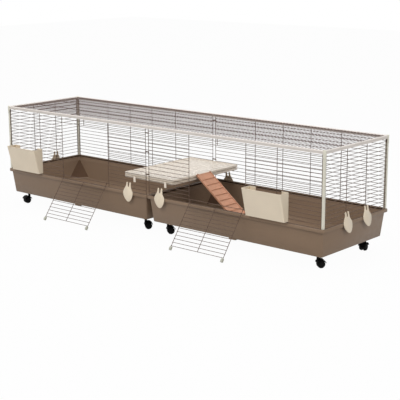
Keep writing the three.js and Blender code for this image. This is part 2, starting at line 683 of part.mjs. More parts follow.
FRONT_LATCH_X.forEach((x, place) => addLatch(`latch_front_${place + 1}`, 0, x, ROW_Y));
BACK_LATCH_X.forEach((x, place) => addLatch(`latch_back_${place + 1}`, Math.PI, -x, ROW_Y));
for (const [end, facing] of [["left", -Math.PI / 2], ["right", Math.PI / 2]]) {
  [-END_COLUMN_Y, END_COLUMN_Y].forEach((y, place) => {
    addLatch(`latch_${end}_${place + 1}`, facing, Math.sign(facing) * y, ROW_END_X);
  });
}

// ---------- hay racks ----------

/** A wedge-shaped box, open at the top and at the middle of its back, hooked on a row wire. */
function rackSolid() {
  const half = RACK_WIDTH / 2;
  const backY = -ROW_Y - ROW_WIRE - CLEARANCE;
  const bottomZ = RIM_Z + RACK_LIFT;
  const topZ = bottomZ + RACK_HEIGHT;
  const outer = profile(
    [[backY, bottomZ], [backY, topZ], [backY - RACK_TOP_DEPTH, topZ], [backY - RACK_BOTTOM_DEPTH, bottomZ]],
    -half,
    half,
  );
  const slope = (RACK_TOP_DEPTH - RACK_BOTTOM_DEPTH) / RACK_HEIGHT;
  const floorZ = bottomZ + RACK_WALL;
  const floorDepth = RACK_BOTTOM_DEPTH + slope * RACK_WALL - RACK_WALL;
  const roomTop = topZ + 1;
  const roomDepth = RACK_TOP_DEPTH + slope - RACK_WALL;
  const room = profile(
    [
      [backY - RACK_WALL, floorZ],
      [backY - RACK_WALL, roomTop],
      [backY - roomDepth, roomTop],
      [backY - floorDepth, floorZ],
    ],
    RACK_WALL - half,
    half - RACK_WALL,
  );
  const window = box(
    RACK_FLANGE - half,
    half - RACK_FLANGE,
    backY - RACK_WALL - 1,
    backY + 1,
    floorZ,
    roomTop,
  );
  const hookY = -ROW_Y + ROW_WIRE + CLEARANCE;
  const hookZ = rowZ(RACK_HOOK_ROW) + ROW_WIRE + CLEARANCE;
  const hooks = [-1, 1].flatMap((side) => {
    const middle = side * (half - RACK_HOOK_INSET);
    const x0 = middle - RACK_HOOK_WIDTH / 2;
    const x1 = middle + RACK_HOOK_WIDTH / 2;
    return [
      box(x0, x1, backY - RACK_WALL / 2, hookY + RACK_WALL, hookZ, hookZ + HOOK_THICKNESS),
      box(x0, x1, hookY, hookY + RACK_WALL, hookZ - 2 * ROW_WIRE - HOOK_THICKNESS, hookZ + HOOK_THICKNESS),
    ];
  });
  return join([outer.subtract(room).subtract(window), ...hooks]);
}

addPiece("hay_rack_left", rackSolid(), CREAM).position.x = LEFT_RACK_INSET - RIM_END_X;
addPiece("hay_rack_right", rackSolid(), CREAM).position.x = RIM_END_X - RIGHT_RACK_INSET;

// ---------- platform ----------

const PLATFORM_HALF_Y = COLUMN_INNER_Y - PLATFORM_SIDE_GAP;
const PLATFORM_TOP_Z = RIM_Z + PLATFORM_TOP;

/** A hollow board with a sunk deck and a groove round its edge, hung on row wires at the front and back. */
function platformSolid() {
  const halfX = PLATFORM_LENGTH / 2;
  const halfY = PLATFORM_HALF_Y;
  const bottomZ = PLATFORM_TOP_Z - PLATFORM_HEIGHT;
  const deckX = halfX - PLATFORM_BORDER;
  const deckY = halfY - PLATFORM_BORDER;
  const board = box(-halfX, halfX, -halfY, halfY, bottomZ, PLATFORM_TOP_Z);
  const deck = box(-deckX, deckX, -deckY, deckY, PLATFORM_TOP_Z - PLATFORM_POCKET, PLATFORM_TOP_Z + 1);
  const roomX = halfX - PLATFORM_GROOVE - PLATFORM_SHELL;
  const roomY = halfY - PLATFORM_GROOVE - PLATFORM_SHELL;
  const roomTop = PLATFORM_TOP_Z - PLATFORM_POCKET - PLATFORM_SHELL;
  const room = box(-roomX, roomX, -roomY, roomY, bottomZ - 1, roomTop);
  const grooveZ = (bottomZ + PLATFORM_TOP_Z - PLATFORM_GROOVE_HEIGHT) / 2;
  const grooveBand = box(
    -halfX - 1, halfX + 1, -halfY - 1, halfY + 1, grooveZ, grooveZ + PLATFORM_GROOVE_HEIGHT,
  );
  const grooveCore = box(
    PLATFORM_GROOVE - halfX,
    halfX - PLATFORM_GROOVE,
    PLATFORM_GROOVE - halfY,
    halfY - PLATFORM_GROOVE,
    grooveZ - 1,
    grooveZ + PLATFORM_GROOVE_HEIGHT + 1,
  );
  const hookZ = rowZ(PLATFORM_HOOK_ROW) + ROW_WIRE + CLEARANCE;
  const outside = ROW_Y + ROW_WIRE + CLEARANCE;
  const hooks = [];
  for (const x of PLATFORM_HOOKS_X) {
    const x0 = x - PLATFORM_HOOK_WIDTH / 2;
    const x1 = x + PLATFORM_HOOK_WIDTH / 2;
    const arm = box(x0, x1, -outside - HOOK_THICKNESS, -halfY + 2, hookZ, hookZ + HOOK_THICKNESS);
    const dropZ = hookZ - PLATFORM_HOOK_DROP;
    const drop = box(x0, x1, -outside - HOOK_THICKNESS, -outside, dropZ, hookZ + HOOK_THICKNESS);
    const hook = arm.add(drop);
    hooks.push(hook, hook.mirror([0, 1, 0]));
  }
  return join([board.subtract(deck).subtract(room).subtract(grooveBand.subtract(grooveCore)), ...hooks]);
}

addPiece("platform", platformSolid(), CREAM);

// ---------- inner ramp ----------

const RAMP_HINGE_X = PLATFORM_LENGTH / 2 + RAMP_BEAD_RADIUS + CLEARANCE;
const RAMP_HINGE_Z = PLATFORM_TOP_Z - RAMP_BEAD_RADIUS;
const RAMP_FALL = RAMP_HINGE_Z - CASTER_HEIGHT - TRAY_FLOOR - CLEARANCE;
const RAMP_LENGTH = (RAMP_FALL - (RAMP_THICKNESS / 2) * Math.cos(RAMP_ANGLE)) / Math.sin(RAMP_ANGLE);

/** A board that runs along x from its rounded upper edge at the origin, with cleats across its top. */
function rampSolid() {
  const half = RAMP_WIDTH / 2;
  const board = box(0, RAMP_LENGTH, -half, half, -RAMP_THICKNESS / 2, RAMP_THICKNESS / 2);
  const bead = cylinder("y", [0, 0, 0], RAMP_BEAD_RADIUS, RAMP_WIDTH, 12);
  const spacing = RAMP_LENGTH / (RAMP_CLEATS + 1);
  const cleats = [];
  for (let i = 1; i <= RAMP_CLEATS; i += 1) {
    const x = i * spacing;
    const topZ = RAMP_THICKNESS / 2 + RAMP_CLEAT_HEIGHT;
    cleats.push(box(x - RAMP_CLEAT_WIDTH / 2, x + RAMP_CLEAT_WIDTH / 2, -half, half, 0, topZ));
  }
  return join([board, bead, ...cleats]);
}

const ramp = addPiece("inner_ramp", rampSolid(), TERRACOTTA);
ramp.position.set(RAMP_HINGE_X, RAMP_Y, RAMP_HINGE_Z);
ramp.rotation.y = RAMP_ANGLE;

// The origin is under the middle of everything, on the floor.
cage.position.y = ORIGIN_SHIFT;
const assembly = new THREE.Group();
assembly.add(cage);

export default assembly;
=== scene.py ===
"""A ferret cage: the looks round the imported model. Metres, in the model's own frame."""

import math

import bmesh
import bpy
from mathutils import Matrix, Vector


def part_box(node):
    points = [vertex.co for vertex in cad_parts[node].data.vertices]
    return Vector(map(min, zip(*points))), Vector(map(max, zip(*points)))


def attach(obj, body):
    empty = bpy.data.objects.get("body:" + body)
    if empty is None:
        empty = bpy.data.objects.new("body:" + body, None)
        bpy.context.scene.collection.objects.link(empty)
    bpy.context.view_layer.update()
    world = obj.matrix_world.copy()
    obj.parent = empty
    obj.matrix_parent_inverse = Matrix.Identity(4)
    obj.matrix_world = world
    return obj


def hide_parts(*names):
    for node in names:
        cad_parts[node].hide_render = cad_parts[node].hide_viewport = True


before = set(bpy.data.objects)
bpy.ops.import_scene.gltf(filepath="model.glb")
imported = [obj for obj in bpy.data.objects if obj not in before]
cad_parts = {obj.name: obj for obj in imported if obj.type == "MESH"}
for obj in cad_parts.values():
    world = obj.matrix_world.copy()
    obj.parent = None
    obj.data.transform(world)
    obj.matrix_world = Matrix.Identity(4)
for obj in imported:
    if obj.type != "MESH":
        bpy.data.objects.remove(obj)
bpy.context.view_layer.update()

MM = 0.001

# ---------- sizes, as in the model ----------

CLEARANCE = 0.3 * MM  # between pieces that hang on each other or stand against each other

TRAY_HEIGHT = 150 * MM
RIM_DROP = 18 * MM
RIM_OVERHANG = 11 * MM
RIM_SKIRT = 2.5 * MM
TRAY_WALL = 2.6 * MM
TRAY_FLOOR = 3 * MM
TRAY_TAPER = 13 * MM
CORNER_CUT = 8 * MM
GROOVE_DEPTH = 5.5 * MM  # the seat of the wire panels, inside and just under the rim
GROOVE_BAND = (10.5 * MM, 2.2 * MM)  # how far under the rim lie the seat's faces that are darkened with painted shade
FACET_FOOT = 9 * MM  # the slanting corners, darkened with painted shade, start this far above the tray's floor
GUSSET_REACH = 92 * MM
GUSSET_DROP = 34 * MM
TRAY_FOOT_HALF = 22 * MM
TRAY_FOOT_DEPTH = 26 * MM

WIRE_PITCH = 21.25 * MM
WALL_SPACES = 17
ROW_RADIUS = 1.4 * MM
COLUMN_RADIUS = 1.7 * MM
ROOF_ROW_RADIUS = 1.35 * MM
ROOF_COLUMN_RADIUS = 1.45 * MM
WELD_RADIUS = 1.5 * MM
WELD_SINK = 0.25 * MM  # how far two wires are melted into each other
WIRE_SIDES = 8
ROW_HALF = 1.5 * MM  # half of a row wire's space in the model
COLUMN_HALF = 1.8 * MM
SEAM_WIRE_X = 11 * MM
WIRE_END = 1.4 * MM
COLUMN_SHARES = (0.255, 0.424, 0.587, 0.758)
DOOR_SILL_ROW = 1
DOOR_HEADER_ROW = 16
END_COLUMN_Y = 90 * MM
ROOF_WIRE_Y = 94 * MM

DOOR_RUNGS = 13
DOOR_SIDE_GAP = 14 * MM
DOOR_LENGTH = 300 * MM
DOOR_FOOT_LENGTH = 21 * MM
DOOR_FOOT_HALF = 6 * MM
DOOR_FOOT_SIDES = (4.5 * MM, 8.5 * MM)  # from the rail's middle, outward and inward
HINGE_RING_RADIUS = 3.2 * MM
HINGE_RING_WIRE = 1.2 * MM
HINGE_RING_STEPS = 14

POST_HALF = 6.5 * MM
POST_INSET = 1.5 * MM  # of the post behind its cap
CAP_DEPTH = 46 * MM

WHEEL_RADIUS = 21 * MM
WHEEL_WIDTH = 18 * MM
CASTER_WEB = 4.4 * MM
CASTER_TRAIL = 15 * MM
CASTER_HEADINGS = (255, 60, 49, 230, 53, 250, 50, 278)
RUNNING_GAP = 0.8 * MM
HOOD_STEPS = 20
WHEEL_SIDES = 48
STEM_SIDES = 40
AXLE_SIDES = 24

LATCH_ROW = 2
FRONT_LATCHES_X = (-143 * MM, 100 * MM)
BACK_LATCHES_X = (-100 * MM, 100 * MM)
LATCH_LENGTH = 101 * MM
LATCH_HALF_WIDTH = 38 * MM
LATCH_FACE = 1.8 * MM
LATCH_THICKNESS = 5 * MM
LATCH_LEAN = math.radians(8.33)
LATCH_HOOK_X = 11.5 * MM
LATCH_HOOK_HALF = 4 * MM
LATCH_RIB_HALF = 12 * MM
DOT_SIZE = (3.2 * MM, 1.4 * MM, 3.2 * MM, 1)  # half sizes of a grip dot on the lever's face
DOT_ROWS = (3, 4, 4, 3, 2)
DOT_PITCH = 10 * MM
LATCH_EDGE = (
    (0.58, 0.26), (0.93, 0.4), (1, 0.52), (0.96, 0.67), (0.8, 0.83), (0.57, 0.95), (0.3, 1),
    (0, 0.98), (-0.34, 0.89), (-0.7, 0.75), (-0.92, 0.6), (-0.97, 0.48), (-0.84, 0.34),
)

RACK_TOP_DEPTH = 71 * MM
RACK_BOTTOM_DEPTH = 34 * MM
RACK_WALL = 2.2 * MM
RACK_FLANGE = 42 * MM
RACK_CORNER = 7 * MM
RACK_LIP = 5 * MM
RACK_HOOK_ROW = 6
RACK_HOOK_INSET = 34 * MM
RACK_HOOK_HALF = 6 * MM

PLATFORM_HEIGHT = 28 * MM
PLATFORM_POCKET = 3 * MM
PLATFORM_BORDER = 12 * MM
PLATFORM_GROOVE = 9 * MM
PLATFORM_SIDE_GAP = 6.1 * MM  # from the middle of a wall's rows to the platform's side
PLATFORM_HOOK_ROW = 4
PLATFORM_HOOKS_X = (-95 * MM, 140 * MM)
PLATFORM_HOOK_WIDTH = 15 * MM
PLATFORM_HOOK_DROP = 27 * MM
HOOK_THICKNESS = 3 * MM
RAMP_ANGLE = math.radians(38)
RAMP_CLEATS = 9
RAMP_THICKNESS = 8 * MM
RAMP_BEAD = 4.5 * MM  # radius of the rounded upper edge, on which the ramp turns
RAMP_RAIL = 5 * MM
RAMP_CLEAT = 3 * MM
RAMP_TAB = (12 * MM, 2 * MM)  # from the ramp's side to the tab's two ends


def low(node):
    return Vector(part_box(node)[0])


def high(node):
    return Vector(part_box(node)[1])


def centre(node):
    return (low(node) + high(node)) / 2


SHIFT_Y = centre("tray_right").y
RIM_Z = high("tray_right").z
TRAY_BOTTOM = RIM_Z - TRAY_HEIGHT
ROW_ZERO_Z = low("front_panel_right").z + ROW_HALF
FRONT_ROW_Y = low("front_panel_right").y + ROW_HALF
BACK_ROW_Y = high("back_panel_right").y - ROW_HALF
END_ROW_X = high("end_panel_right").x - ROW_HALF
POST_X = high("end_panel_right").x - POST_HALF
HINGE_Z = ROW_ZERO_Z + DOOR_SILL_ROW * WIRE_PITCH
DOOR_SLOPE = math.asin(HINGE_Z / math.hypot(DOOR_LENGTH, DOOR_FOOT_HALF)) - math.atan(
    DOOR_FOOT_HALF / DOOR_LENGTH
)


def column_x(share):
    return SEAM_WIRE_X + share * (POST_X - SEAM_WIRE_X)


def row_z(row):
    return ROW_ZERO_Z + row * WIRE_PITCH


# ---------- materials ----------

GRAIN_DEPTH = 0.06 * MM
COATING_DEPTH = 0.05 * MM
NOISE_LOW, NOISE_HIGH = 0.3, 0.7  # most of a noise texture lies between these
# Noise scales, in features per metre.
GLOSS_SCALE = 40.0
COATING_PATCHES = 120.0
COATING_GRAIN = 1500.0


def new_material(name, color, roughness, specular, metallic=0.0):
    """A material with a Principled shader, and object coordinates for its textures."""
    material = bpy.data.materials.new(name)
    material.use_nodes = True
    nodes = material.node_tree.nodes
    shader = nodes["Principled BSDF"]
    shader.inputs["Base Color"].default_value = (*color, 1)
    shader.inputs["Roughness"].default_value = roughness
    shader.inputs["Metallic"].default_value = metallic
    shader.inputs["Specular IOR Level"].default_value = specular
    coordinates = nodes.new("ShaderNodeTexCoord")
    return material, nodes, material.node_tree.links, shader, coordinates.outputs["Object"]


def noise(nodes, links, place, scale, detail):
    """A noise texture at the place, with the scale in features per metre."""
    texture = nodes.new("ShaderNodeTexNoise")
    texture.inputs["Scale"].default_value = scale
    texture.inputs["Detail"].default_value = detail
    links.new(place, texture.inputs["Vector"])
    return texture.outputs["Fac"]


def tinted(nodes, links, value, color, spread, limits):
    """The colour, darker where the value is low and lighter where it is high, by the spread."""
    node = nodes.new("ShaderNodeValToRGB")
    links.new(value, node.inputs["Fac"])
    factors = (1 - spread, 1 + spread)
    for element, position, factor in zip(node.color_ramp.elements, limits, factors):
        element.position = position
        element.color = (*[channel * factor for channel in color], 1)
    return node.outputs["Color"]


def between(nodes, links, value, low_value, high_value):
    """A noise value, spread between two numbers."""
    node = nodes.new("ShaderNodeMapRange")
    node.inputs["From Min"].default_value = NOISE_LOW
    node.inputs["From Max"].default_value = NOISE_HIGH
    node.inputs["To Min"].default_value = low_value
    node.inputs["To Max"].default_value = high_value
    links.new(value, node.inputs["Value"])
    return node.outputs["Result"]


def add_bump(nodes, links, shader, height, strength, depth):
    bump = nodes.new("ShaderNodeBump")
    bump.inputs["Strength"].default_value = strength
    bump.inputs["Distance"].default_value = depth
    links.new(height, bump.inputs["Height"])
    links.new(bump.outputs["Normal"], shader.inputs["Normal"])


def moulded(name, color, roughness, grain=900.0, specular=0.5, cloud=6.0, spread=0.06, uneven=0.16):
    """Moulded plastic: a fine spark-eroded grain, faint clouds in the colour and uneven gloss."""
    material, nodes, links, shader, place = new_material(name, color, roughness, specular)
    clouds = noise(nodes, links, place, cloud, 4.0)
    fine = noise(nodes, links, place, grain, 2.0)
    tint = tinted(nodes, links, clouds, color, spread, (NOISE_LOW, NOISE_HIGH))
    links.new(tint, shader.inputs["Base Color"])
    dull = noise(nodes, links, place, GLOSS_SCALE, 5.0)
    gloss = between(nodes, links, dull, roughness * (1 - uneven), roughness * (1 + uneven))
    links.new(gloss, shader.inputs["Roughness"])
    add_bump(nodes, links, shader, fine, 0.5, GRAIN_DEPTH)
    return material


def coated_wire(name, color, roughness):
    """Coated steel wire: a slightly uneven coating with duller patches."""
    material, nodes, links, shader, place = new_material(name, color, roughness, 0.2, metallic=0.1)
    patches = noise(nodes, links, place, COATING_PATCHES, 4.0)
    tint = tinted(nodes, links, patches, color, 0.2, (0.35, 0.65))
    links.new(tint, shader.inputs["Base Color"])
    gloss = between(nodes, links, patches, roughness - 0.08, roughness + 0.12)
    links.new(gloss, shader.inputs["Roughness"])
    fine = noise(nodes, links, place, COATING_GRAIN, 2.0)
    add_bump(nodes, links, shader, fine, 0.4, COATING_DEPTH)
    return material


def srgb(red, green, blue):
    """An sRGB colour, 0 to 255, as linear values."""
    out = []
    for value in (red, green, blue):
        share = value / 255
        out.append(share / 12.92 if share <= 0.04045 else ((share + 0.055) / 1.055) ** 2.4)
    return tuple(out)


TAUPE = moulded(
    "tray_taupe", srgb(130, 108, 88), 0.4, grain=700.0, specular=0.25, cloud=3.0, spread=0.05
)
# painted shade: a dark taupe in the panels' seat under the rim stands in for the shade in that
# recess
GROOVE_SHADE = moulded(
    "tray_groove_painted_shade", srgb(62, 47, 37), 0.8, grain=500.0, specular=0.1, spread=0.08
)
# painted shade: a darker taupe on the tray's slanting inner corners stands in for their shade; only
# their duller gloss is their own
FACET_SHADE = moulded(
    "tray_facet_painted_shade", srgb(96, 74, 58), 0.75, grain=500.0, specular=0.1, cloud=3.0, spread=0.08
)
DECK = moulded(
    "platform_cream", srgb(224, 212, 196), 0.27, grain=1100.0, specular=0.6, cloud=3.0,
    spread=0.015, uneven=0.04,
)
CREAM = moulded("cream_plastic", srgb(222, 207, 184), 0.34, grain=1100.0, cloud=9.0, spread=0.03)
BLACK = moulded("caster_black", srgb(10, 9, 9), 0.6, specular=0.08, spread=0.2)
WIRE = coated_wire("wire_coating", srgb(96, 77, 65), 0.45)
# the same wire coating, tinted slightly lighter on the roof as painted light from above
ROOF_WIRE_PAINTED_LIGHT = coated_wire("roof_wire_coating_painted_light", srgb(100, 78, 72), 0.45)
RAIL = moulded("rail_plastic", srgb(212, 204, 197), 0.38, grain=1100.0, cloud=14.0, spread=0.03)
POST = moulded("post_plastic", srgb(212, 208, 193), 0.38, grain=1100.0, cloud=14.0, spread=0.03)
DOOR_FOOT = moulded("door_foot_plastic", srgb(172, 172, 158), 0.4, spread=0.04)
TERRACOTTA = moulded("terracotta_plastic", srgb(196, 142, 112), 0.5, cloud=30.0, spread=0.08)

# ---------- mesh helpers ----------

SMOOTH_ANGLE = math.radians(35)


def make_object(name, mesh_data, material, body, nodes=(), bevel=0.0, segments=2):
    """Turns a bmesh into a smooth-shaded piece that rides on a body and stands for its nodes."""
    bmesh.ops.recalc_face_normals(mesh_data, faces=mesh_data.faces)
    mesh = bpy.data.meshes.new(name)
    mesh_data.to_mesh(mesh)
    mesh_data.free()
    mesh.shade_smooth()
    mesh.set_sharp_from_angle(angle=SMOOTH_ANGLE)
    piece = bpy.data.objects.new(name, mesh)
    bpy.context.collection.objects.link(piece)
    mesh.materials.append(material)
    if bevel:
        rounding = piece.modifiers.new("rounding", "BEVEL")
        rounding.width = bevel
        rounding.segments = segments
        rounding.limit_method = "ANGLE"
        rounding.angle_limit = SMOOTH_ANGLE
        rounding.harden_normals = True
    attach(piece, body)
    if nodes:
        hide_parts(*nodes)
    return piece


def skin(target, rings):
    """Quads between successive closed rings of vertices."""
    count = len(rings[0])
    for first, second in zip(rings, rings[1:]):
        for i in range(count):
            j = (i + 1) % count
            target.faces.new((first[i], first[j], second[j], second[i]))


def close(target, rings):
    """Skins the rings and puts a flat face on each end."""
    skin(target, rings)
    target.faces.new(list(reversed(rings[0])))
    target.faces.new(rings[-1])


def add_bar(target, section, ends, point):
    """A straight bar with one section from end to end. point(end, u, v) gives its corners."""
    close(target, [[target.verts.new(point(end, u, v)) for u, v in section] for end in ends])


def add_box(target, low_corner, high_corner):
    """A plain box into a bmesh."""
    size = Vector(high_corner) - Vector(low_corner)
    place = Matrix.Translation((Vector(low_corner) + Vector(high_corner)) / 2)
    bmesh.ops.create_cube(target, size=1.0, matrix=place @ Matrix.Diagonal((*size, 1)))


def add_rod(target, start, end, radius):
    """A round wire with softened ends between two points."""
    direction = (end - start).normalized()
    turn = direction.to_track_quat("Z", "Y").to_matrix()
    tip = radius * 0.35
    stations = (
        (start, radius * 0.6),
        (start + direction * tip, radius),
        (end - direction * tip, radius),
        (end, radius * 0.6),
    )
    rings = []
    for place, size in stations:
        ring = []
        for i in range(WIRE_SIDES):
            angle = 2 * math.pi * (i + 0.5) / WIRE_SIDES
            offset = turn @ Vector((math.cos(angle) * size, math.sin(angle) * size, 0))
            ring.append(target.verts.new(place + offset))
        rings.append(ring)
    close(target, rings)


def add_wires(target, rows, columns, welds, row_radius=ROW_RADIUS, column_radius=COLUMN_RADIUS):
    """A rod from start to end for each row and column, and a small bead at each weld."""
    for start, end in rows:
        add_rod(target, start, end, row_radius)
    for start, end in columns:
        add_rod(target, start, end, column_radius)
    for place in welds:
        bead = Matrix.Translation(place)
        bmesh.ops.create_icosphere(target, subdivisions=1, radius=WELD_RADIUS, matrix=bead)


def add_loop(target, points, radius):
    """A round wire that runs through the points and back to the first."""
    count = len(points)
    rings = []
    side = (points[1] - points[-1]).normalized().orthogonal().normalized()
    for i, point in enumerate(points):
        tangent = (points[(i + 1) % count] - points[i - 1]).normalized()
        side = (side - tangent * side.dot(tangent)).normalized()
        up = tangent.cross(side)
        ring = []
        for k in range(WIRE_SIDES):
            angle = 2 * math.pi * k / WIRE_SIDES
            offset = (side * math.cos(angle) + up * math.sin(angle)) * radius
            ring.append(target.verts.new(point + offset))
        rings.append(ring)
    skin(target, rings + rings[:1])


def add_lathe(target, profile, axis_matrix, sides):
    """A profile of (radius, height) points, turned round the matrix's z axis and closed."""
    rings = []
    for radius, height in profile:
        ring = []
        for i in range(sides):
            angle = 2 * math.pi * i / sides
            local = Vector((radius * math.cos(angle), radius * math.sin(angle), height))
            ring.append(target.verts.new(axis_matrix @ local))
        rings.append(ring)
    close(target, rings)


ARC_POINTS = 3
ARC_FULLNESS = 0.7


def outline(half_x, half_y, cut, round_off):
    """A rectangle with corners cut at 45 degrees and the cuts' ends rounded: (x, y) points."""
    points = []
    for index, (sx, sy) in enumerate(((1, 1), (-1, 1), (-1, -1), (1, -1))):
        first = Vector((sx * half_x, sy * (half_y - cut)))
        second = Vector((sx * (half_x - cut), sy * half_y))
        corner = [first, second] if index % 2 == 0 else [second, first]
        for place, end in enumerate(corner):
            along_in = Vector((0, sy)) if (index % 2 == 0) == (place == 0) else Vector((sx, 0))
            towards = (corner[1 - place] - end).normalized()
            for k in range(ARC_POINTS):
                share = k / (ARC_POINTS - 1)
                if place == 1:
                    share = 1 - share
                flat = -along_in * round_off * (1 - share)
                slant = towards * round_off * share
                points.append(end + (flat + slant) * ARC_FULLNESS)
    return points


def loft(target, stations, center):
    """Skins rings of (half_x, half_y, cut, round_off, z) round a centre, and closes both ends."""
    rings = []
    for *shape, z in stations:
        ring = []
        for point in outline(*shape):
            ring.append(target.verts.new((center.x + point.x, center.y + point.y, z)))
        rings.append(ring)
    close(target, rings)


# ---------- trays ----------


def build_tray(side):
    node = f"tray_{side}"
    lo, hi = low(node), high(node)
    middle = (lo + hi) / 2
    half_x = (hi.x - lo.x) / 2
    half_y = (hi.y - lo.y) / 2
    wall_x = half_x - RIM_OVERHANG
    wall_y = half_y - RIM_OVERHANG
    bottom_x = wall_x - TRAY_TAPER
    bottom_y = wall_y - TRAY_TAPER
    edge = 4 * MM
    floor_z = TRAY_BOTTOM + TRAY_FLOOR
    tip_z = RIM_Z - GUSSET_DROP

    def outside(share, inward, z):
        """A station on the wall's outer face, a share of the way down, some way inward."""
        taper = TRAY_TAPER * share
        cut = 3 * MM + (CORNER_CUT - 3 * MM) * share
        return (wall_x - taper - inward, wall_y - taper - inward, cut, 2 * MM, z)

    def inside(inward, z):
        """A station on the wall's inner face, whose slanting corners widen towards the floor."""
        share = (RIM_Z - z) / TRAY_HEIGHT
        slant = max(0.0, (tip_z - z) / (tip_z - floor_z))
        cut = 4 * MM + (GUSSET_REACH - 4 * MM) * slant
        reach = TRAY_WALL + TRAY_TAPER * share + inward
        return (wall_x - reach, wall_y - reach, cut - inward * 0.59, 2.5 * MM, z)

    def rim(inward, z, cut=5 * MM):
        """A station on the rim, some way inward from its outer edge."""
        return (half_x - inward, half_y - inward, cut, 3 * MM, z)

    skirt = RIM_SKIRT + 0.2 * MM
    rim_foot = RIM_Z - RIM_DROP
    stations = [
        (bottom_x * 0.5, bottom_y * 0.5, GUSSET_REACH / 3, 3 * MM, floor_z),
        inside(26 * MM, floor_z),
        inside(24 * MM, floor_z + 1.2 * MM),
        inside(8 * MM, floor_z + 1.2 * MM),
        inside(3 * MM, floor_z + 2.5 * MM),
        inside(0.8 * MM, floor_z + 6 * MM),
        inside(0.0, floor_z + 10 * MM),
        inside(0.0, tip_z),
        inside(0.0, RIM_Z - 27 * MM),
        inside(-0.9 * MM, RIM_Z - 25 * MM),
        inside(-1.2 * MM, RIM_Z - 11 * MM),
        inside(-GROOVE_DEPTH, RIM_Z - 10 * MM),
        inside(-GROOVE_DEPTH, RIM_Z - 3 * MM),
        inside(-1.2 * MM, RIM_Z - 2.4 * MM),
        inside(-2.2 * MM, RIM_Z - 0.8 * MM),
        (wall_x + 1.5 * MM, wall_y + 1.5 * MM, 5 * MM, 3 * MM, RIM_Z),
        rim(2.5 * MM, RIM_Z),
        rim(0.7 * MM, RIM_Z - 0.8 * MM, 6 * MM),
        rim(0.0, RIM_Z - 2.6 * MM, 6 * MM),
        rim(0.0, rim_foot + 2.4 * MM, 6 * MM),
        rim(0.9 * MM, rim_foot + 0.6 * MM, 6 * MM),
        rim(skirt, rim_foot),
        rim(skirt, RIM_Z - RIM_SKIRT),
        outside(0.0, -GROOVE_DEPTH, RIM_Z - RIM_SKIRT),
        outside(0.08, -GROOVE_DEPTH, RIM_Z - 12 * MM),
        outside(0.1, 0.0, RIM_Z - 14 * MM),
        outside(0.5, 0.0, RIM_Z - TRAY_HEIGHT / 2),
        outside(0.97, 0.0, TRAY_BOTTOM + edge),
        outside(1.0, edge * 0.3, TRAY_BOTTOM + edge * 0.3),
        outside(1.0, edge, TRAY_BOTTOM),
        (bottom_x * 0.5, bottom_y * 0.5, CORNER_CUT / 3, MM, TRAY_BOTTOM),
    ]
    target = bmesh.new()
    loft(target, stations, middle)
    for sy in (-1, 1):
        outer = middle.y + sy * bottom_y
        y0, y1 = sorted((outer, outer - sy * TRAY_FOOT_DEPTH))
        add_box(
            target,
            (middle.x - TRAY_FOOT_HALF, y0, lo.z),
            (middle.x + TRAY_FOOT_HALF, y1, TRAY_BOTTOM + TRAY_FLOOR * 0.5),
        )
    shell = make_object(f"tray_{side}_shell", target, TAUPE, "cage", [node])
    shell.data.materials.append(FACET_SHADE)
    shell.data.materials.append(GROOVE_SHADE)
    for face in shell.data.polygons:
        # faces of the slanting corners get the darker taupe that is painted shade
        slanting = min(abs(face.normal.x), abs(face.normal.y)) > 0.35 and face.normal.z > 0.2
        if slanting and floor_z + FACET_FOOT < face.center.z < tip_z:
            face.material_index = 1
        # faces in the seat under the rim get the dark taupe that is painted shade
        off = face.center - middle
        in_walls = abs(off.x) < wall_x + 5 * MM and abs(off.y) < wall_y + 5 * MM
        if in_walls and RIM_Z - GROOVE_BAND[0] < face.center.z < RIM_Z - GROOVE_BAND[1]:
            face.material_index = 2


for side in ("left", "right"):
    build_tray(side)

# ---------- wire panels ----------

COLUMN_FOOT = row_z(0) - WIRE_END
COLUMN_HEAD = low("top_rail_front_right").z - CLEARANCE
LONG_START = SEAM_WIRE_X - COLUMN_HALF
LONG_END = POST_X - POST_HALF - CLEARANCE
WELD_DEPTH = ROW_RADIUS + COLUMN_RADIUS - WELD_SINK


def wall_panel(name, node, row_spans, column_spans, plane):
    """Row wires and upright wires of a wall. plane(along, z, depth): depth is 0 at the rows."""
    rows = [(plane(a, z, 0), plane(b, z, 0)) for z, a, b in row_spans]
    columns = [(plane(a, z0, WELD_DEPTH), plane(a, z1, WELD_DEPTH)) for a, z0, z1 in column_spans]
    welds = []
    for a, z0, z1 in column_spans:
        for z, first, last in row_spans:
            if first - MM < a < last + MM and z0 - MM < z < z1 + MM:
                welds.append(plane(a, z, ROW_RADIUS))
    target = bmesh.new()
    add_wires(target, rows, columns, welds)
    make_object(name, target, WIRE, "cage", [node])


def long_columns(shares):
    places = [column_x(share) for share in shares]
    places = [SEAM_WIRE_X, *places, LONG_END - COLUMN_HALF - WIRE_END]
    return [(x, COLUMN_FOOT, COLUMN_HEAD) for x in places]


def front_plane(sign):
    return lambda x, z, depth: Vector((sign * x, FRONT_ROW_Y + depth, z))


def back_plane(sign):
    return lambda x, z, depth: Vector((sign * x, BACK_ROW_Y - depth, z))


def end_plane(sign):
    return lambda y, z, depth: Vector((sign * (END_ROW_X - depth), SHIFT_Y + y, z))


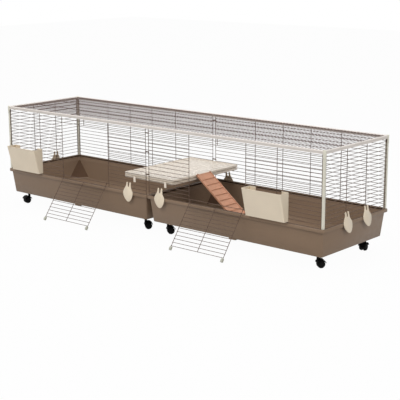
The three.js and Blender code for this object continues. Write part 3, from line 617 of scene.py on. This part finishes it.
inner_x, middle_x, outer_x = (column_x(share) for share in COLUMN_SHARES[:3])
all_rows = [row_z(row) for row in range(WALL_SPACES + 1)]
front_rows = []
for row, z in enumerate(all_rows):
    if row <= DOOR_SILL_ROW or row >= DOOR_HEADER_ROW:
        front_rows.append((z, LONG_START, LONG_END))
    else:
        front_rows.append((z, LONG_START, inner_x + WIRE_END))
        front_rows.append((z, outer_x - WIRE_END, LONG_END))
front_columns = long_columns((COLUMN_SHARES[0], COLUMN_SHARES[2], COLUMN_SHARES[3]))
front_columns.append((middle_x, row_z(DOOR_HEADER_ROW) - WIRE_END, COLUMN_HEAD))
back_rows = [(z, LONG_START, LONG_END) for z in all_rows]
back_columns = long_columns(COLUMN_SHARES)
end_half = (high("end_panel_right").y - low("end_panel_right").y) / 2
end_rows = [(z, -end_half, end_half) for z in all_rows]
end_edge = end_half - COLUMN_HALF - WIRE_END
end_places = (-end_edge, -END_COLUMN_Y, END_COLUMN_Y, end_edge)
end_columns = [(y, COLUMN_FOOT, COLUMN_HEAD) for y in end_places]

for side, sign in (("left", -1), ("right", 1)):
    for part, rows, columns, plane in (
        ("front", front_rows, front_columns, front_plane(sign)),
        ("back", back_rows, back_columns, back_plane(sign)),
        ("end", end_rows, end_columns, end_plane(sign)),
    ):
        wall_panel(f"{part}_wires_{side}", f"{part}_panel_{side}", rows, columns, plane)


def build_roof(side, sign):
    node = f"roof_panel_{side}"
    lo, hi = low(node), high(node)
    long_z = lo.z + COLUMN_HALF
    cross_z = long_z + ROOF_ROW_RADIUS + ROOF_COLUMN_RADIUS - WELD_SINK
    far = max(abs(lo.x), abs(hi.x))
    half_y = (hi.y - lo.y) / 2
    edge = half_y - COLUMN_HALF - WIRE_END
    lengthways = (-edge, -ROOF_WIRE_Y, ROOF_WIRE_Y, edge)

    def place(x, y, z):
        return Vector((sign * x, SHIFT_Y + y, z))

    start = SEAM_WIRE_X - WIRE_END
    columns = [(place(start, y, long_z), place(far, y, long_z)) for y in lengthways]
    rows = []
    welds = []
    spaces = int((far - SEAM_WIRE_X) / WIRE_PITCH)
    for i in range(spaces + 1):
        x = SEAM_WIRE_X + i * WIRE_PITCH
        rows.append((place(x, -half_y, cross_z), place(x, half_y, cross_z)))
        welds += [place(x, y, (long_z + cross_z) / 2) for y in lengthways]
    target = bmesh.new()
    add_wires(target, rows, columns, welds, ROOF_ROW_RADIUS, ROOF_COLUMN_RADIUS)
    make_object(f"roof_wires_{side}", target, ROOF_WIRE_PAINTED_LIGHT, "cage", [node])


build_roof("left", -1)
build_roof("right", 1)

# ---------- doors ----------


def build_door(side, sign):
    hinge = Vector((0, FRONT_ROW_Y, HINGE_Z))
    turn = Matrix.Translation(hinge) @ Matrix.Rotation(DOOR_SLOPE, 4, "X")
    rails = [inner_x + DOOR_SIDE_GAP, outer_x - DOOR_SIDE_GAP]

    def place(x, y, z):
        return turn @ Vector((sign * x, y, z))

    rail_end = DOOR_LENGTH - 6 * MM
    columns = [(place(x, -rail_end, 0), place(x, -3 * MM, 0)) for x in rails]
    last = DOOR_RUNGS * WIRE_PITCH
    middle_ends = (-last - WIRE_END, WIRE_END - WIRE_PITCH)
    columns.append([place(middle_x, y, 0) for y in middle_ends])
    ends = (rails[0] - WIRE_END, rails[1] + WIRE_END)
    rows = []
    welds = []
    for rung in range(1, DOOR_RUNGS + 1):
        y = -rung * WIRE_PITCH
        rows.append([place(x, y, WELD_DEPTH) for x in ends])
        welds += [place(x, y, WELD_DEPTH - ROW_RADIUS) for x in (*rails, middle_x)]
    target = bmesh.new()
    add_wires(target, rows, columns, welds)
    for x in rails:
        loop = []
        for k in range(HINGE_RING_STEPS):
            angle = 2 * math.pi * k / HINGE_RING_STEPS
            lean = HINGE_RING_WIRE * math.sin(angle / 2)
            y, z = HINGE_RING_RADIUS * math.cos(angle), HINGE_RING_RADIUS * math.sin(angle)
            loop.append(place(x + lean, y, z))
        add_loop(target, loop, HINGE_RING_WIRE)
    make_object(f"door_wires_{side}", target, WIRE, f"door_{side}", [f"door_{side}"])

    tip = -DOOR_LENGTH
    head = tip + DOOR_FOOT_LENGTH
    half = DOOR_FOOT_HALF
    section = [
        (tip, -half), (tip, half * 0.55), (tip + 6 * MM, half), (head - 7 * MM, half),
        (head, half * 0.6), (head, -half * 0.6), (head - 7 * MM, -half),
    ]
    for label, rail, inward in (("inner", rails[0], 1), ("outer", rails[1], -1)):
        near = rail - inward * DOOR_FOOT_SIDES[0]
        far = rail + inward * DOOR_FOOT_SIDES[1]
        target = bmesh.new()
        add_bar(target, section, (near, far), place)
        make_object(
            f"door_foot_{label}_{side}_body", target, DOOR_FOOT, f"door_{side}",
            [f"door_foot_{label}_{side}"], bevel=1.2 * MM, segments=3,
        )


build_door("left", -1)
build_door("right", 1)

# ---------- posts and rails ----------


def build_post(front_back, side):
    node = f"corner_post_{front_back}_{side}"
    lo, hi = low(node), high(node)
    out_x = 1 if side == "right" else -1
    out_y = 1 if front_back == "back" else -1
    edge_x = hi.x if out_x > 0 else lo.x
    edge_y = hi.y if out_y > 0 else lo.y
    reach = POST_INSET + 2 * POST_HALF
    x0, x1 = sorted((edge_x - out_x * POST_INSET, edge_x - out_x * reach))
    y0, y1 = sorted((edge_y - out_y * POST_INSET, edge_y - out_y * reach))
    target = bmesh.new()
    add_box(target, (x0, y0, lo.z), (x1, y1, hi.z - 20 * MM))
    make_object(
        f"{node}_column", target, POST, "cage", [node], bevel=2.2 * MM, segments=3
    )
    half = (hi.x - lo.x) / 2
    middle = Vector((edge_x - out_x * half, edge_y - out_y * half, 0))
    end = (half * 0.5, half * 0.5, MM, 0.5 * MM)

    def ring(inset, drop):
        return (half - inset, half - inset, 2 * MM, MM, hi.z - drop)

    cap = bmesh.new()
    loft(
        cap,
        [
            (*end, hi.z),
            ring(2.6 * MM, 0.0),
            ring(0.8 * MM, 0.8 * MM),
            ring(0.0, 2.6 * MM),
            ring(0.0, CAP_DEPTH - 3 * MM),
            ring(0.8 * MM, CAP_DEPTH - 0.5 * MM),
            (*end, hi.z - CAP_DEPTH),
        ],
        middle,
    )
    make_object(f"{node}_cap", cap, POST, "cage", [node])


for front_back in ("front", "back"):
    for side in ("left", "right"):
        build_post(front_back, side)


def build_rail(node):
    """A rail with a rounded head over a narrower foot, into which the panel's wires are pressed."""
    lo, hi = low(node), high(node)
    along = 0 if hi.x - lo.x > hi.y - lo.y else 1
    across = 1 - along
    width = hi[across] - lo[across]
    height = hi.z - lo.z
    foot = 2.2 * MM
    step = height * 0.42
    half_section = [
        (foot, 0.0), (foot, step), (0.5 * MM, step + MM), (0.0, step + 2 * MM),
        (0.0, height - 4 * MM), (1.2 * MM, height - 1.4 * MM), (3.6 * MM, height),
    ]
    far_side = [(width - u, v) for u, v in half_section]
    section = [half_section[0], *far_side, *reversed(half_section[1:])]

    def point(end, u, v):
        corner = Vector((0, 0, lo.z + v))
        corner[along] = end
        corner[across] = lo[across] + u
        return corner

    target = bmesh.new()
    add_bar(target, section, (lo[along], hi[along]), point)
    make_object(f"{node}_bar", target, RAIL, "cage", [node])


for side in ("left", "right"):
    for part in ("front", "back", "end"):
        build_rail(f"top_rail_{part}_{side}")

# ---------- ring clips at the joint ----------

CLIP_WIRE = 1.05 * MM
CLIP_TURNS_Z = (-1.6 * MM, 0, 1.6 * MM)
CLIP_STEPS = 10


def build_clip(node):
    lo, hi = low(node), high(node)
    middle = (lo + hi) / 2
    half_x = (hi.x - lo.x) / 2 - 1.1 * MM
    half_y = (hi.y - lo.y) / 2 - 1.1 * MM
    straight = half_x - half_y
    loop = []
    for sx, turn in ((1, 0.0), (-1, math.pi)):
        for k in range(CLIP_STEPS + 1):
            angle = -math.pi / 2 + math.pi * k / CLIP_STEPS + turn
            x = sx * straight + half_y * math.cos(angle)
            loop.append(middle + Vector((x, half_y * math.sin(angle), 0)))
    target = bmesh.new()
    for dz in CLIP_TURNS_Z:
        add_loop(target, [point + Vector((0, 0, dz)) for point in loop], CLIP_WIRE)
    make_object(f"{node}_ring", target, WIRE, "cage", [node])


for front_back in ("front", "back"):
    for number in (1, 2, 3):
        build_clip(f"seam_clip_{front_back}_{number}")

# ---------- casters ----------


def caster_matrix(number):
    """The caster's own frame: stem at the origin, wheels trailing along x, axle along y."""
    heading = math.radians(CASTER_HEADINGS[number - 1])
    axle = centre(f"caster_wheels_{number}")
    stem = axle - Matrix.Rotation(heading, 3, "Z") @ Vector((CASTER_TRAIL, 0, 0))
    return Matrix.Translation((stem.x, stem.y, 0)) @ Matrix.Rotation(heading, 4, "Z")


def build_wheels(number, matrix):
    radius = WHEEL_RADIUS
    width = WHEEL_WIDTH
    profile = [
        (4 * MM, 0.0), (radius - 3 * MM, 0.0), (radius - 1.4 * MM, 1.4 * MM),
        (radius - 0.3 * MM, 3.6 * MM), (radius, 6.5 * MM), (radius - 0.4 * MM, width - 8 * MM),
        (radius - 2 * MM, width - 4.4 * MM), (radius - 4.6 * MM, width - 2 * MM),
        (radius - 5.4 * MM, width - 2.6 * MM), (radius - 9 * MM, width - 2.2 * MM),
        (radius - 10 * MM, width - 0.6 * MM), (6 * MM, width), (2.5 * MM, width),
    ]
    face = CASTER_WEB / 2 + RUNNING_GAP
    target = bmesh.new()
    for side in (-1, 1):
        place = Matrix.Translation((CASTER_TRAIL, side * face, radius))
        turn = Matrix.Rotation(-side * math.pi / 2, 4, "X")
        add_lathe(target, profile, matrix @ place @ turn, WHEEL_SIDES)
    place = Matrix.Translation((CASTER_TRAIL, 0, radius))
    turn = Matrix.Rotation(math.pi / 2, 4, "X")
    half_axle = (CASTER_WEB + 2 * width) / 2 - MM
    axle = [(3 * MM, -half_axle), (3 * MM, half_axle)]
    add_lathe(target, axle, matrix @ place @ turn, AXLE_SIDES)
    make_object(
        f"caster_wheels_{number}_pair", target, BLACK, f"caster_wheels_{number}",
        [f"caster_wheels_{number}"],
    )


def build_hood(number, matrix):
    top = high(f"caster_hood_{number}").z
    inner = WHEEL_RADIUS + 2.2 * MM
    outer = inner + 2.6 * MM
    half_width = CASTER_WEB / 2 + 2 * RUNNING_GAP + WHEEL_WIDTH
    start = math.asin(8 * MM / outer)
    axle = Vector((CASTER_TRAIL, 0, WHEEL_RADIUS))
    shell = [
        (inner, -half_width), (outer - MM, -half_width), (outer, -half_width + MM),
        (outer, half_width - MM), (outer - MM, half_width), (inner, half_width),
    ]
    target = bmesh.new()
    rings = []
    for k in range(HOOD_STEPS + 1):
        angle = start + (math.pi - 2 * start) * k / HOOD_STEPS
        direction = Vector((math.cos(angle), 0, math.sin(angle)))
        spots = [axle + direction * radius + Vector((0, y, 0)) for radius, y in shell]
        rings.append([target.verts.new(matrix @ spot) for spot in spots])
    close(target, rings)
    web = [
        (-7 * MM, 0), (-5 * MM, -5 * MM), (0, -7 * MM), (5 * MM, -5 * MM), (7 * MM, 0),
        (11 * MM, 19 * MM), (-19 * MM, 11 * MM),
    ]
    add_bar(
        target, web, (-CASTER_WEB / 2, CASTER_WEB / 2),
        lambda y, x, z: matrix @ Vector((CASTER_TRAIL + x, y, WHEEL_RADIUS + z)),
    )
    stem = [
        (7.6 * MM, WHEEL_RADIUS + 17 * MM), (7.6 * MM, top - 7.5 * MM), (11 * MM, top - 5 * MM),
        (18.4 * MM, top - 4 * MM), (19 * MM, top - 3.2 * MM), (19 * MM, top),
    ]
    add_lathe(target, stem, matrix, STEM_SIDES)
    make_object(
        f"caster_hood_{number}_shell", target, BLACK, f"caster_swivel_{number}",
        [f"caster_hood_{number}"],
    )


for number in range(1, len(CASTER_HEADINGS) + 1):
    matrix = caster_matrix(number)
    build_wheels(number, matrix)
    build_hood(number, matrix)

# ---------- latch levers ----------


def rounded(points, rounds=2):
    """A closed outline with its corners cut, again and again, until they are round."""
    for _ in range(rounds):
        cut = []
        for first, second in zip(points, points[1:] + points[:1]):
            cut.append(first.lerp(second, 0.25))
            cut.append(first.lerp(second, 0.75))
        points = cut
    return points


def moved_inward(points, distance):
    """A clockwise outline, each point moved in along the bisector there."""
    out = []
    count = len(points)
    for i, point in enumerate(points):
        along = (points[(i + 1) % count] - points[i - 1]).normalized()
        out.append(point + Vector((along.y, -along.x)) * distance)
    return out


def latch_outline():
    """The lever in (x, z): the right prong, round the lower end, the left prong and the slot."""
    prong = [(7, 8), (8.4, 9.8), (11.5, 10), (14.6, 9.8), (16, 8), (16.6, 0), (18.2, -12)]
    slot = [(-6.4, -1), (-5.6, -15), (0, -19), (5.6, -15), (6.4, -1)]
    points = [Vector((x * MM, z * MM)) for x, z in prong]
    points += [Vector((x * LATCH_HALF_WIDTH, -z * LATCH_LENGTH)) for x, z in LATCH_EDGE]
    points += [Vector((-x * MM, z * MM)) for x, z in reversed(prong)]
    points += [Vector((x * MM, z * MM)) for x, z in slot]
    return rounded(points)


def build_latch(name, facing, pivot):
    turn = Matrix.Rotation(facing, 4, "Z") @ Matrix.Rotation(-LATCH_LEAN, 4, "X")
    place = Matrix.Translation(pivot) @ turn
    inner_y = -LATCH_FACE
    outer_y = -LATCH_FACE - LATCH_THICKNESS
    base = latch_outline()
    sections = (
        (0.6 * MM, inner_y), (0.1 * MM, inner_y - 0.6 * MM), (0.1 * MM, outer_y + 1.8 * MM),
        (0.5 * MM, outer_y + 1.0 * MM), (1.1 * MM, outer_y + 0.6 * MM),
    )
    target = bmesh.new()
    rings = []
    for inset, y in sections:
        spots = [place @ Vector((p.x, y, p.y)) for p in moved_inward(base, inset)]
        rings.append([target.verts.new(spot) for spot in spots])
    skin(target, rings)
    target.faces.new(rings[0])
    target.faces.new(list(reversed(rings[-1])))
    for row, count in enumerate(DOT_ROWS):
        for i in range(count):
            x = (i - (count - 1) / 2) * DOT_PITCH
            spot = Matrix.Translation((x, outer_y + 1.4 * MM, -(4 + row) * DOT_PITCH))
            dot = place @ spot @ Matrix.Diagonal(DOT_SIZE)
            bmesh.ops.create_icosphere(target, subdivisions=2, radius=1, matrix=dot)

    def point(x, y, z):
        return place @ Vector((x, y, z))

    hook = [
        (inner_y - 1.4 * MM, 1.9 * MM), (ROW_HALF, 1.9 * MM), (ROW_HALF + 0.1 * MM, 3 * MM),
        (0.0, 4.6 * MM), (inner_y - 1.4 * MM, 4.7 * MM),
    ]
    for x in (-LATCH_HOOK_X, LATCH_HOOK_X):
        add_bar(target, hook, (x - LATCH_HOOK_HALF, x + LATCH_HOOK_HALF), point)
    rim_drop = (pivot.z - RIM_Z + RIM_DROP + RUNNING_GAP) * math.cos(LATCH_LEAN)
    top = -rim_drop - HOOK_THICKNESS - RUNNING_GAP
    rib = [
        (inner_y - MM, top - 3 * MM), (inner_y + 5.6 * MM, top - 2.4 * MM),
        (inner_y + 6.6 * MM, top - 1.2 * MM), (inner_y + 6 * MM, top), (inner_y - MM, top),
    ]
    add_bar(target, rib, (-LATCH_RIB_HALF, LATCH_RIB_HALF), point)
    make_object(f"{name}_lever", target, CREAM, name, [name])


LATCH_Z = row_z(LATCH_ROW)
for number, x in enumerate(FRONT_LATCHES_X, 1):
    build_latch(f"latch_front_{number}", 0, Vector((x, FRONT_ROW_Y, LATCH_Z)))
for number, x in enumerate(BACK_LATCHES_X, 1):
    build_latch(f"latch_back_{number}", math.pi, Vector((x, BACK_ROW_Y, LATCH_Z)))
for side, sign in (("left", -1), ("right", 1)):
    for number, y in enumerate((-END_COLUMN_Y, END_COLUMN_Y), 1):
        pivot = Vector((sign * END_ROW_X, SHIFT_Y + y, LATCH_Z))
        build_latch(f"latch_{side}_{number}", sign * math.pi / 2, pivot)

# ---------- hay racks ----------


def corner_arc(x, y, radius, start, turn, steps=6):
    """The points of a rounded corner, without its two ends."""
    angles = [start + turn * k / steps for k in range(1, steps)]
    return [(x + radius * math.cos(angle), y + radius * math.sin(angle)) for angle in angles]


def build_rack(side):
    node = f"hay_rack_{side}"
    lo, hi = low(node), high(node)
    middle = (lo.x + hi.x) / 2
    half = (hi.x - lo.x) / 2
    back_y = FRONT_ROW_Y - ROW_HALF - CLEARANCE
    height = hi.z - lo.z
    target = bmesh.new()

    def c_ring(share, z, grow=0.0):
        """A C-shaped section of the wall at a height: outer path, then inner path back."""
        depth = RACK_BOTTOM_DEPTH + (RACK_TOP_DEPTH - RACK_BOTTOM_DEPTH) * share + grow
        wall = RACK_WALL + grow
        corner = RACK_CORNER
        bend = -(depth - corner)
        outer_path = [
            (-(half - RACK_FLANGE), 0.0), (-half, 0.0), (-half, bend),
            *corner_arc(-half + corner, bend, corner, math.pi, math.pi / 2),
            (-half + corner, -depth),
        ]
        inner_path = [
            (half - RACK_FLANGE, -wall), (half - wall, -wall), (half - wall, bend),
            *corner_arc(half - corner, bend, corner - wall, 0.0, -math.pi / 2),
            (half - corner, -depth + wall),
        ]
        path = []
        for side_path in (outer_path, inner_path):
            path += side_path + [(-x, y) for x, y in reversed(side_path)]
        return [target.verts.new((middle + x, back_y + y, z)) for x, y in path]

    lip_share = (height - RACK_LIP) / height
    rings = [
        c_ring(0.0, lo.z),
        c_ring(lip_share, hi.z - RACK_LIP),
        c_ring(lip_share, hi.z - RACK_LIP, 0.9 * MM),
        c_ring(1.0, hi.z - MM, 0.9 * MM),
        c_ring(1.0, hi.z, 0.3 * MM),
    ]
    close(target, rings)
    inset = 0.6 * MM
    add_box(
        target,
        (middle - half + inset, back_y - RACK_BOTTOM_DEPTH + inset, lo.z),
        (middle + half - inset, back_y - inset, lo.z + RACK_WALL),
    )
    start = back_y - 1.2 * MM
    hook_z = row_z(RACK_HOOK_ROW) + ROW_HALF + CLEARANCE
    hook_y = FRONT_ROW_Y + ROW_HALF + CLEARANCE
    strip = [
        (start, hook_z), (hook_y, hook_z), (hook_y, hook_z - 6 * MM),
        (hook_y + RACK_WALL, hook_z - 6 * MM), (hook_y + RACK_WALL, hook_z + 1.6 * MM),
        (hook_y + MM, hook_z + 3 * MM), (start, hook_z + 3 * MM),
    ]
    for sx in (-1, 1):
        x = middle + sx * (half - RACK_HOOK_INSET)
        ends = (x - RACK_HOOK_HALF, x + RACK_HOOK_HALF)
        add_bar(target, strip, ends, lambda *point: point)
    make_object(f"{node}_box", target, CREAM, node, [node], bevel=0.5 * MM)


build_rack("left")
build_rack("right")

# ---------- platform ----------


def build_platform():
    lo, hi = low("platform"), high("platform")
    middle = (lo + hi) / 2
    half_x = (hi.x - lo.x) / 2
    half_y = BACK_ROW_Y - SHIFT_Y - PLATFORM_SIDE_GAP
    top = hi.z
    bottom = top - PLATFORM_HEIGHT
    deck = top - PLATFORM_POCKET
    underside = deck - 4 * MM
    wall = PLATFORM_GROOVE + 4 * MM

    def ring(inset, z):
        cut = max(8 * MM - inset * 0.5, 6 * MM)
        return (half_x - inset, half_y - inset, cut, 2.5 * MM, z)

    target = bmesh.new()
    loft(
        target,
        [
            ring(90 * MM, underside),
            ring(wall, underside),
            ring(wall, bottom),
            ring(1.2 * MM, bottom),
            ring(0.0, bottom + 1.2 * MM),
            ring(0.0, bottom + 10.5 * MM),
            ring(0.8 * MM, bottom + 11.3 * MM),
            ring(PLATFORM_GROOVE, bottom + 11.5 * MM),
            ring(PLATFORM_GROOVE, bottom + 16.5 * MM),
            ring(0.8 * MM, bottom + 16.7 * MM),
            ring(0.0, bottom + 17.5 * MM),
            ring(0.0, top - 2 * MM),
            ring(0.7 * MM, top - 0.6 * MM),
            ring(2.2 * MM, top),
            ring(PLATFORM_BORDER - 1.5 * MM, top),
            ring(PLATFORM_BORDER, top - 0.6 * MM),
            ring(PLATFORM_BORDER + 0.6 * MM, deck + 0.6 * MM),
            ring(PLATFORM_BORDER + 2 * MM, deck),
            ring(90 * MM, deck),
        ],
        middle,
    )
    hook_z = row_z(PLATFORM_HOOK_ROW) + ROW_HALF + CLEARANCE
    foot_z = hook_z - PLATFORM_HOOK_DROP
    for x in PLATFORM_HOOKS_X:
        ends = (x - PLATFORM_HOOK_WIDTH / 2, x + PLATFORM_HOOK_WIDTH / 2)
        for sy, row_y in ((-1, FRONT_ROW_Y), (1, BACK_ROW_Y)):
            outside = row_y + sy * (ROW_HALF + CLEARANCE)
            start = middle.y + sy * (half_y - 2 * MM)
            strip = [
                (start, hook_z), (outside, hook_z), (outside, foot_z + MM),
                (outside + sy * 1.5 * MM, foot_z), (outside + sy * 3 * MM, foot_z + MM),
                (outside + sy * 3 * MM, hook_z + 1.6 * MM),
                (outside + sy * 1.8 * MM, hook_z + 3 * MM), (start, hook_z + 3 * MM),
            ]
            add_bar(target, strip, ends, lambda *point: point)
    make_object("platform_board", target, DECK, "cage", ["platform"])


build_platform()

# ---------- inner ramp ----------


def build_ramp():
    lo, hi = low("inner_ramp"), high("inner_ramp")
    platform = high("platform")
    bead = RAMP_BEAD
    half = (hi.y - lo.y) / 2
    origin = Vector((platform.x + bead + CLEARANCE, (lo.y + hi.y) / 2, platform.z - bead))
    place = Matrix.Translation(origin) @ Matrix.Rotation(RAMP_ANGLE, 4, "Y")
    top = RAMP_THICKNESS / 2
    fall = origin.z - TRAY_BOTTOM - TRAY_FLOOR - CLEARANCE
    length = (fall - top * math.cos(RAMP_ANGLE)) / math.sin(RAMP_ANGLE)
    board = [(0.0, -top), (0.0, top - MM)]
    tread = top + RAMP_CLEAT
    for i in range(1, RAMP_CLEATS + 1):
        x = i * (length / (RAMP_CLEATS + 1))
        board += [
            (x - 4.5 * MM, top - MM), (x - 2.6 * MM, tread - 0.7 * MM), (x - 1.6 * MM, tread),
            (x + 1.6 * MM, tread), (x + 2.6 * MM, tread - 0.7 * MM), (x + 4.5 * MM, top - MM),
        ]
    board += [(length - MM, top - MM), (length, top - 2 * MM), (length, -top)]
    rail = [
        (0.0, -top), (length, -top), (length, top), (length - 2 * MM, top + 2 * MM),
        (3 * MM, top + 2 * MM), (0.0, top),
    ]
    tab = [
        (0.0, 0.0), (4.2 * MM, 0.0), (4.4 * MM, 6 * MM), (4.2 * MM, 8.4 * MM),
        (3.2 * MM, 9.6 * MM), (2.0 * MM, 9.2 * MM), (1.6 * MM, 5 * MM),
    ]

    def on_board(y, x, z):
        return place @ Vector((x, y, z))

    target = bmesh.new()
    add_bar(target, board, (-half + RAMP_RAIL, half - RAMP_RAIL), on_board)
    for sy in (-1, 1):
        ends = sorted((sy * (half - RAMP_RAIL - 0.4 * MM), sy * half))
        add_bar(target, rail, ends, on_board)
    add_lathe(
        target,
        [(bead - 0.8 * MM, -half), (bead, -half + MM), (bead, half - MM), (bead - 0.8 * MM, half)],
        place @ Matrix.Rotation(math.pi / 2, 4, "X"),
        AXLE_SIDES,
    )
    for sy in (-1, 1):
        ends = sorted(sy * (half - inset) for inset in RAMP_TAB)
        add_bar(target, tab, ends, lambda y, x, z: origin + Vector((x, y, z)))
    make_object(
        "inner_ramp_board", target, TERRACOTTA, "inner_ramp", ["inner_ramp"]
    )


build_ramp()

# ---------- floor, light and camera ----------

FLOOR_REACH = 14.0
FLOOR_DROP = 0.5 * MM  # keeps the floor clear of the wheels
FLOOR_COLOR = (0.55, 0.55, 0.55)
FLOOR_WHITE_SHARE = 0.97  # the rest of what the camera sees is the lit floor, with the shadows
WORLD_STRENGTH = 0.5


def seen_by(nodes, links, kinds):
    """1 for these kinds of ray and 0 for the others."""
    light_path = nodes.new("ShaderNodeLightPath")
    value = light_path.outputs[kinds[0]]
    for kind in kinds[1:]:
        either = nodes.new("ShaderNodeMath")
        either.operation = "MAXIMUM"
        links.new(value, either.inputs[0])
        links.new(light_path.outputs[kind], either.inputs[1])
        value = either.outputs[0]
    return value


def mixed(nodes, links, share, first, second):
    mix = nodes.new("ShaderNodeMixShader")
    links.new(share, mix.inputs[0])
    links.new(first, mix.inputs[1])
    links.new(second, mix.inputs[2])
    return mix.outputs[0]


def floor_material():
    """A pale surface that looks white to the camera and still shows part of the shadow."""
    material = bpy.data.materials.new("studio_floor")
    material.use_nodes = True
    nodes = material.node_tree.nodes
    links = material.node_tree.links
    shader = nodes["Principled BSDF"]
    shader.inputs["Base Color"].default_value = (*FLOOR_COLOR, 1)
    shader.inputs["Roughness"].default_value = 0.9
    glow = nodes.new("ShaderNodeEmission")
    glow.inputs["Strength"].default_value = 1.0
    seen = seen_by(nodes, links, ("Is Camera Ray", "Is Glossy Ray", "Is Transmission Ray"))
    share = nodes.new("ShaderNodeMath")
    share.operation = "MULTIPLY"
    share.inputs[1].default_value = FLOOR_WHITE_SHARE
    links.new(seen, share.inputs[0])
    surface = mixed(nodes, links, share.outputs[0], shader.outputs["BSDF"], glow.outputs[0])
    links.new(surface, nodes["Material Output"].inputs["Surface"])
    return material


def build_stage():
    mesh = bpy.data.meshes.new("studio_floor")
    signs = ((-1, -1), (1, -1), (1, 1), (-1, 1))
    corners = [(x * FLOOR_REACH, y * FLOOR_REACH, 0) for x, y in signs]
    mesh.from_pydata(corners, [], [(0, 1, 2, 3)])
    floor = bpy.data.objects.new("studio_floor", mesh)
    floor.location.z = -FLOOR_DROP
    bpy.context.collection.objects.link(floor)
    mesh.materials.append(floor_material())

    world = bpy.data.worlds.new("studio")
    bpy.context.scene.world = world
    world.use_nodes = True
    nodes = world.node_tree.nodes
    links = world.node_tree.links
    lighting = nodes["Background"]
    lighting.inputs["Color"].default_value = (1, 1, 1, 1)
    lighting.inputs["Strength"].default_value = WORLD_STRENGTH
    backdrop = nodes.new("ShaderNodeBackground")
    backdrop.inputs["Color"].default_value = (1, 1, 1, 1)
    backdrop.inputs["Strength"].default_value = 1.0
    seen = seen_by(nodes, links, ("Is Camera Ray", "Is Glossy Ray"))
    surface = mixed(nodes, links, seen, lighting.outputs[0], backdrop.outputs[0])
    links.new(surface, nodes["World Output"].inputs["Surface"])


def add_area_light(name, location, target, size, power):
    light = bpy.data.lights.new(name, "AREA")
    light.shape = "RECTANGLE"
    light.size = size[0]
    light.size_y = size[1]
    light.energy = power
    lamp = bpy.data.objects.new(name, light)
    lamp.location = location
    direction = Vector(target) - Vector(location)
    lamp.rotation_euler = direction.to_track_quat("-Z", "Y").to_euler()
    bpy.context.collection.objects.link(lamp)


build_stage()
add_area_light("key", (0.0, -5.6, 4.2), (0, 0, 0.25), (3.5, 3.0), 150)
add_area_light("side", (5.5, -1.5, 3.0), (0, 0, 0.25), (3.0, 2.5), 85)
add_area_light("top", (-0.6, 0.3, 4.6), (-0.2, 0, 0.3), (5.0, 2.5), 110)

# The photograph's camera: a perspective fit of the wire box.
CAMERA_AZIMUTH = math.radians(40.874)
CAMERA_ELEVATION = math.radians(13.24)
CAMERA_ROLL = math.radians(-0.21)
CAMERA_FROM_WIRES = Vector((4.0349, -4.5047, 1.3415))  # from the wire box's middle, at the rim
FOCAL_SHARE = 1067.5 / 400  # focal length over the frame's width


def build_camera():
    data = bpy.data.cameras.new("camera")
    data.sensor_width = 36.0
    data.lens = FOCAL_SHARE * data.sensor_width
    data.clip_end = 100.0
    camera = bpy.data.objects.new("camera", data)
    camera.location = CAMERA_FROM_WIRES + Vector((0, SHIFT_Y, RIM_Z))
    direction = Vector(
        (
            -math.sin(CAMERA_AZIMUTH) * math.cos(CAMERA_ELEVATION),
            math.cos(CAMERA_AZIMUTH) * math.cos(CAMERA_ELEVATION),
            -math.sin(CAMERA_ELEVATION),
        )
    )
    aim = direction.to_track_quat("-Z", "Y").to_matrix().to_4x4()
    camera.rotation_euler = (aim @ Matrix.Rotation(CAMERA_ROLL, 4, "Z")).to_euler()
    bpy.context.collection.objects.link(camera)
    bpy.context.scene.camera = camera


build_camera()
bpy.context.scene.view_settings.view_transform = "Standard"
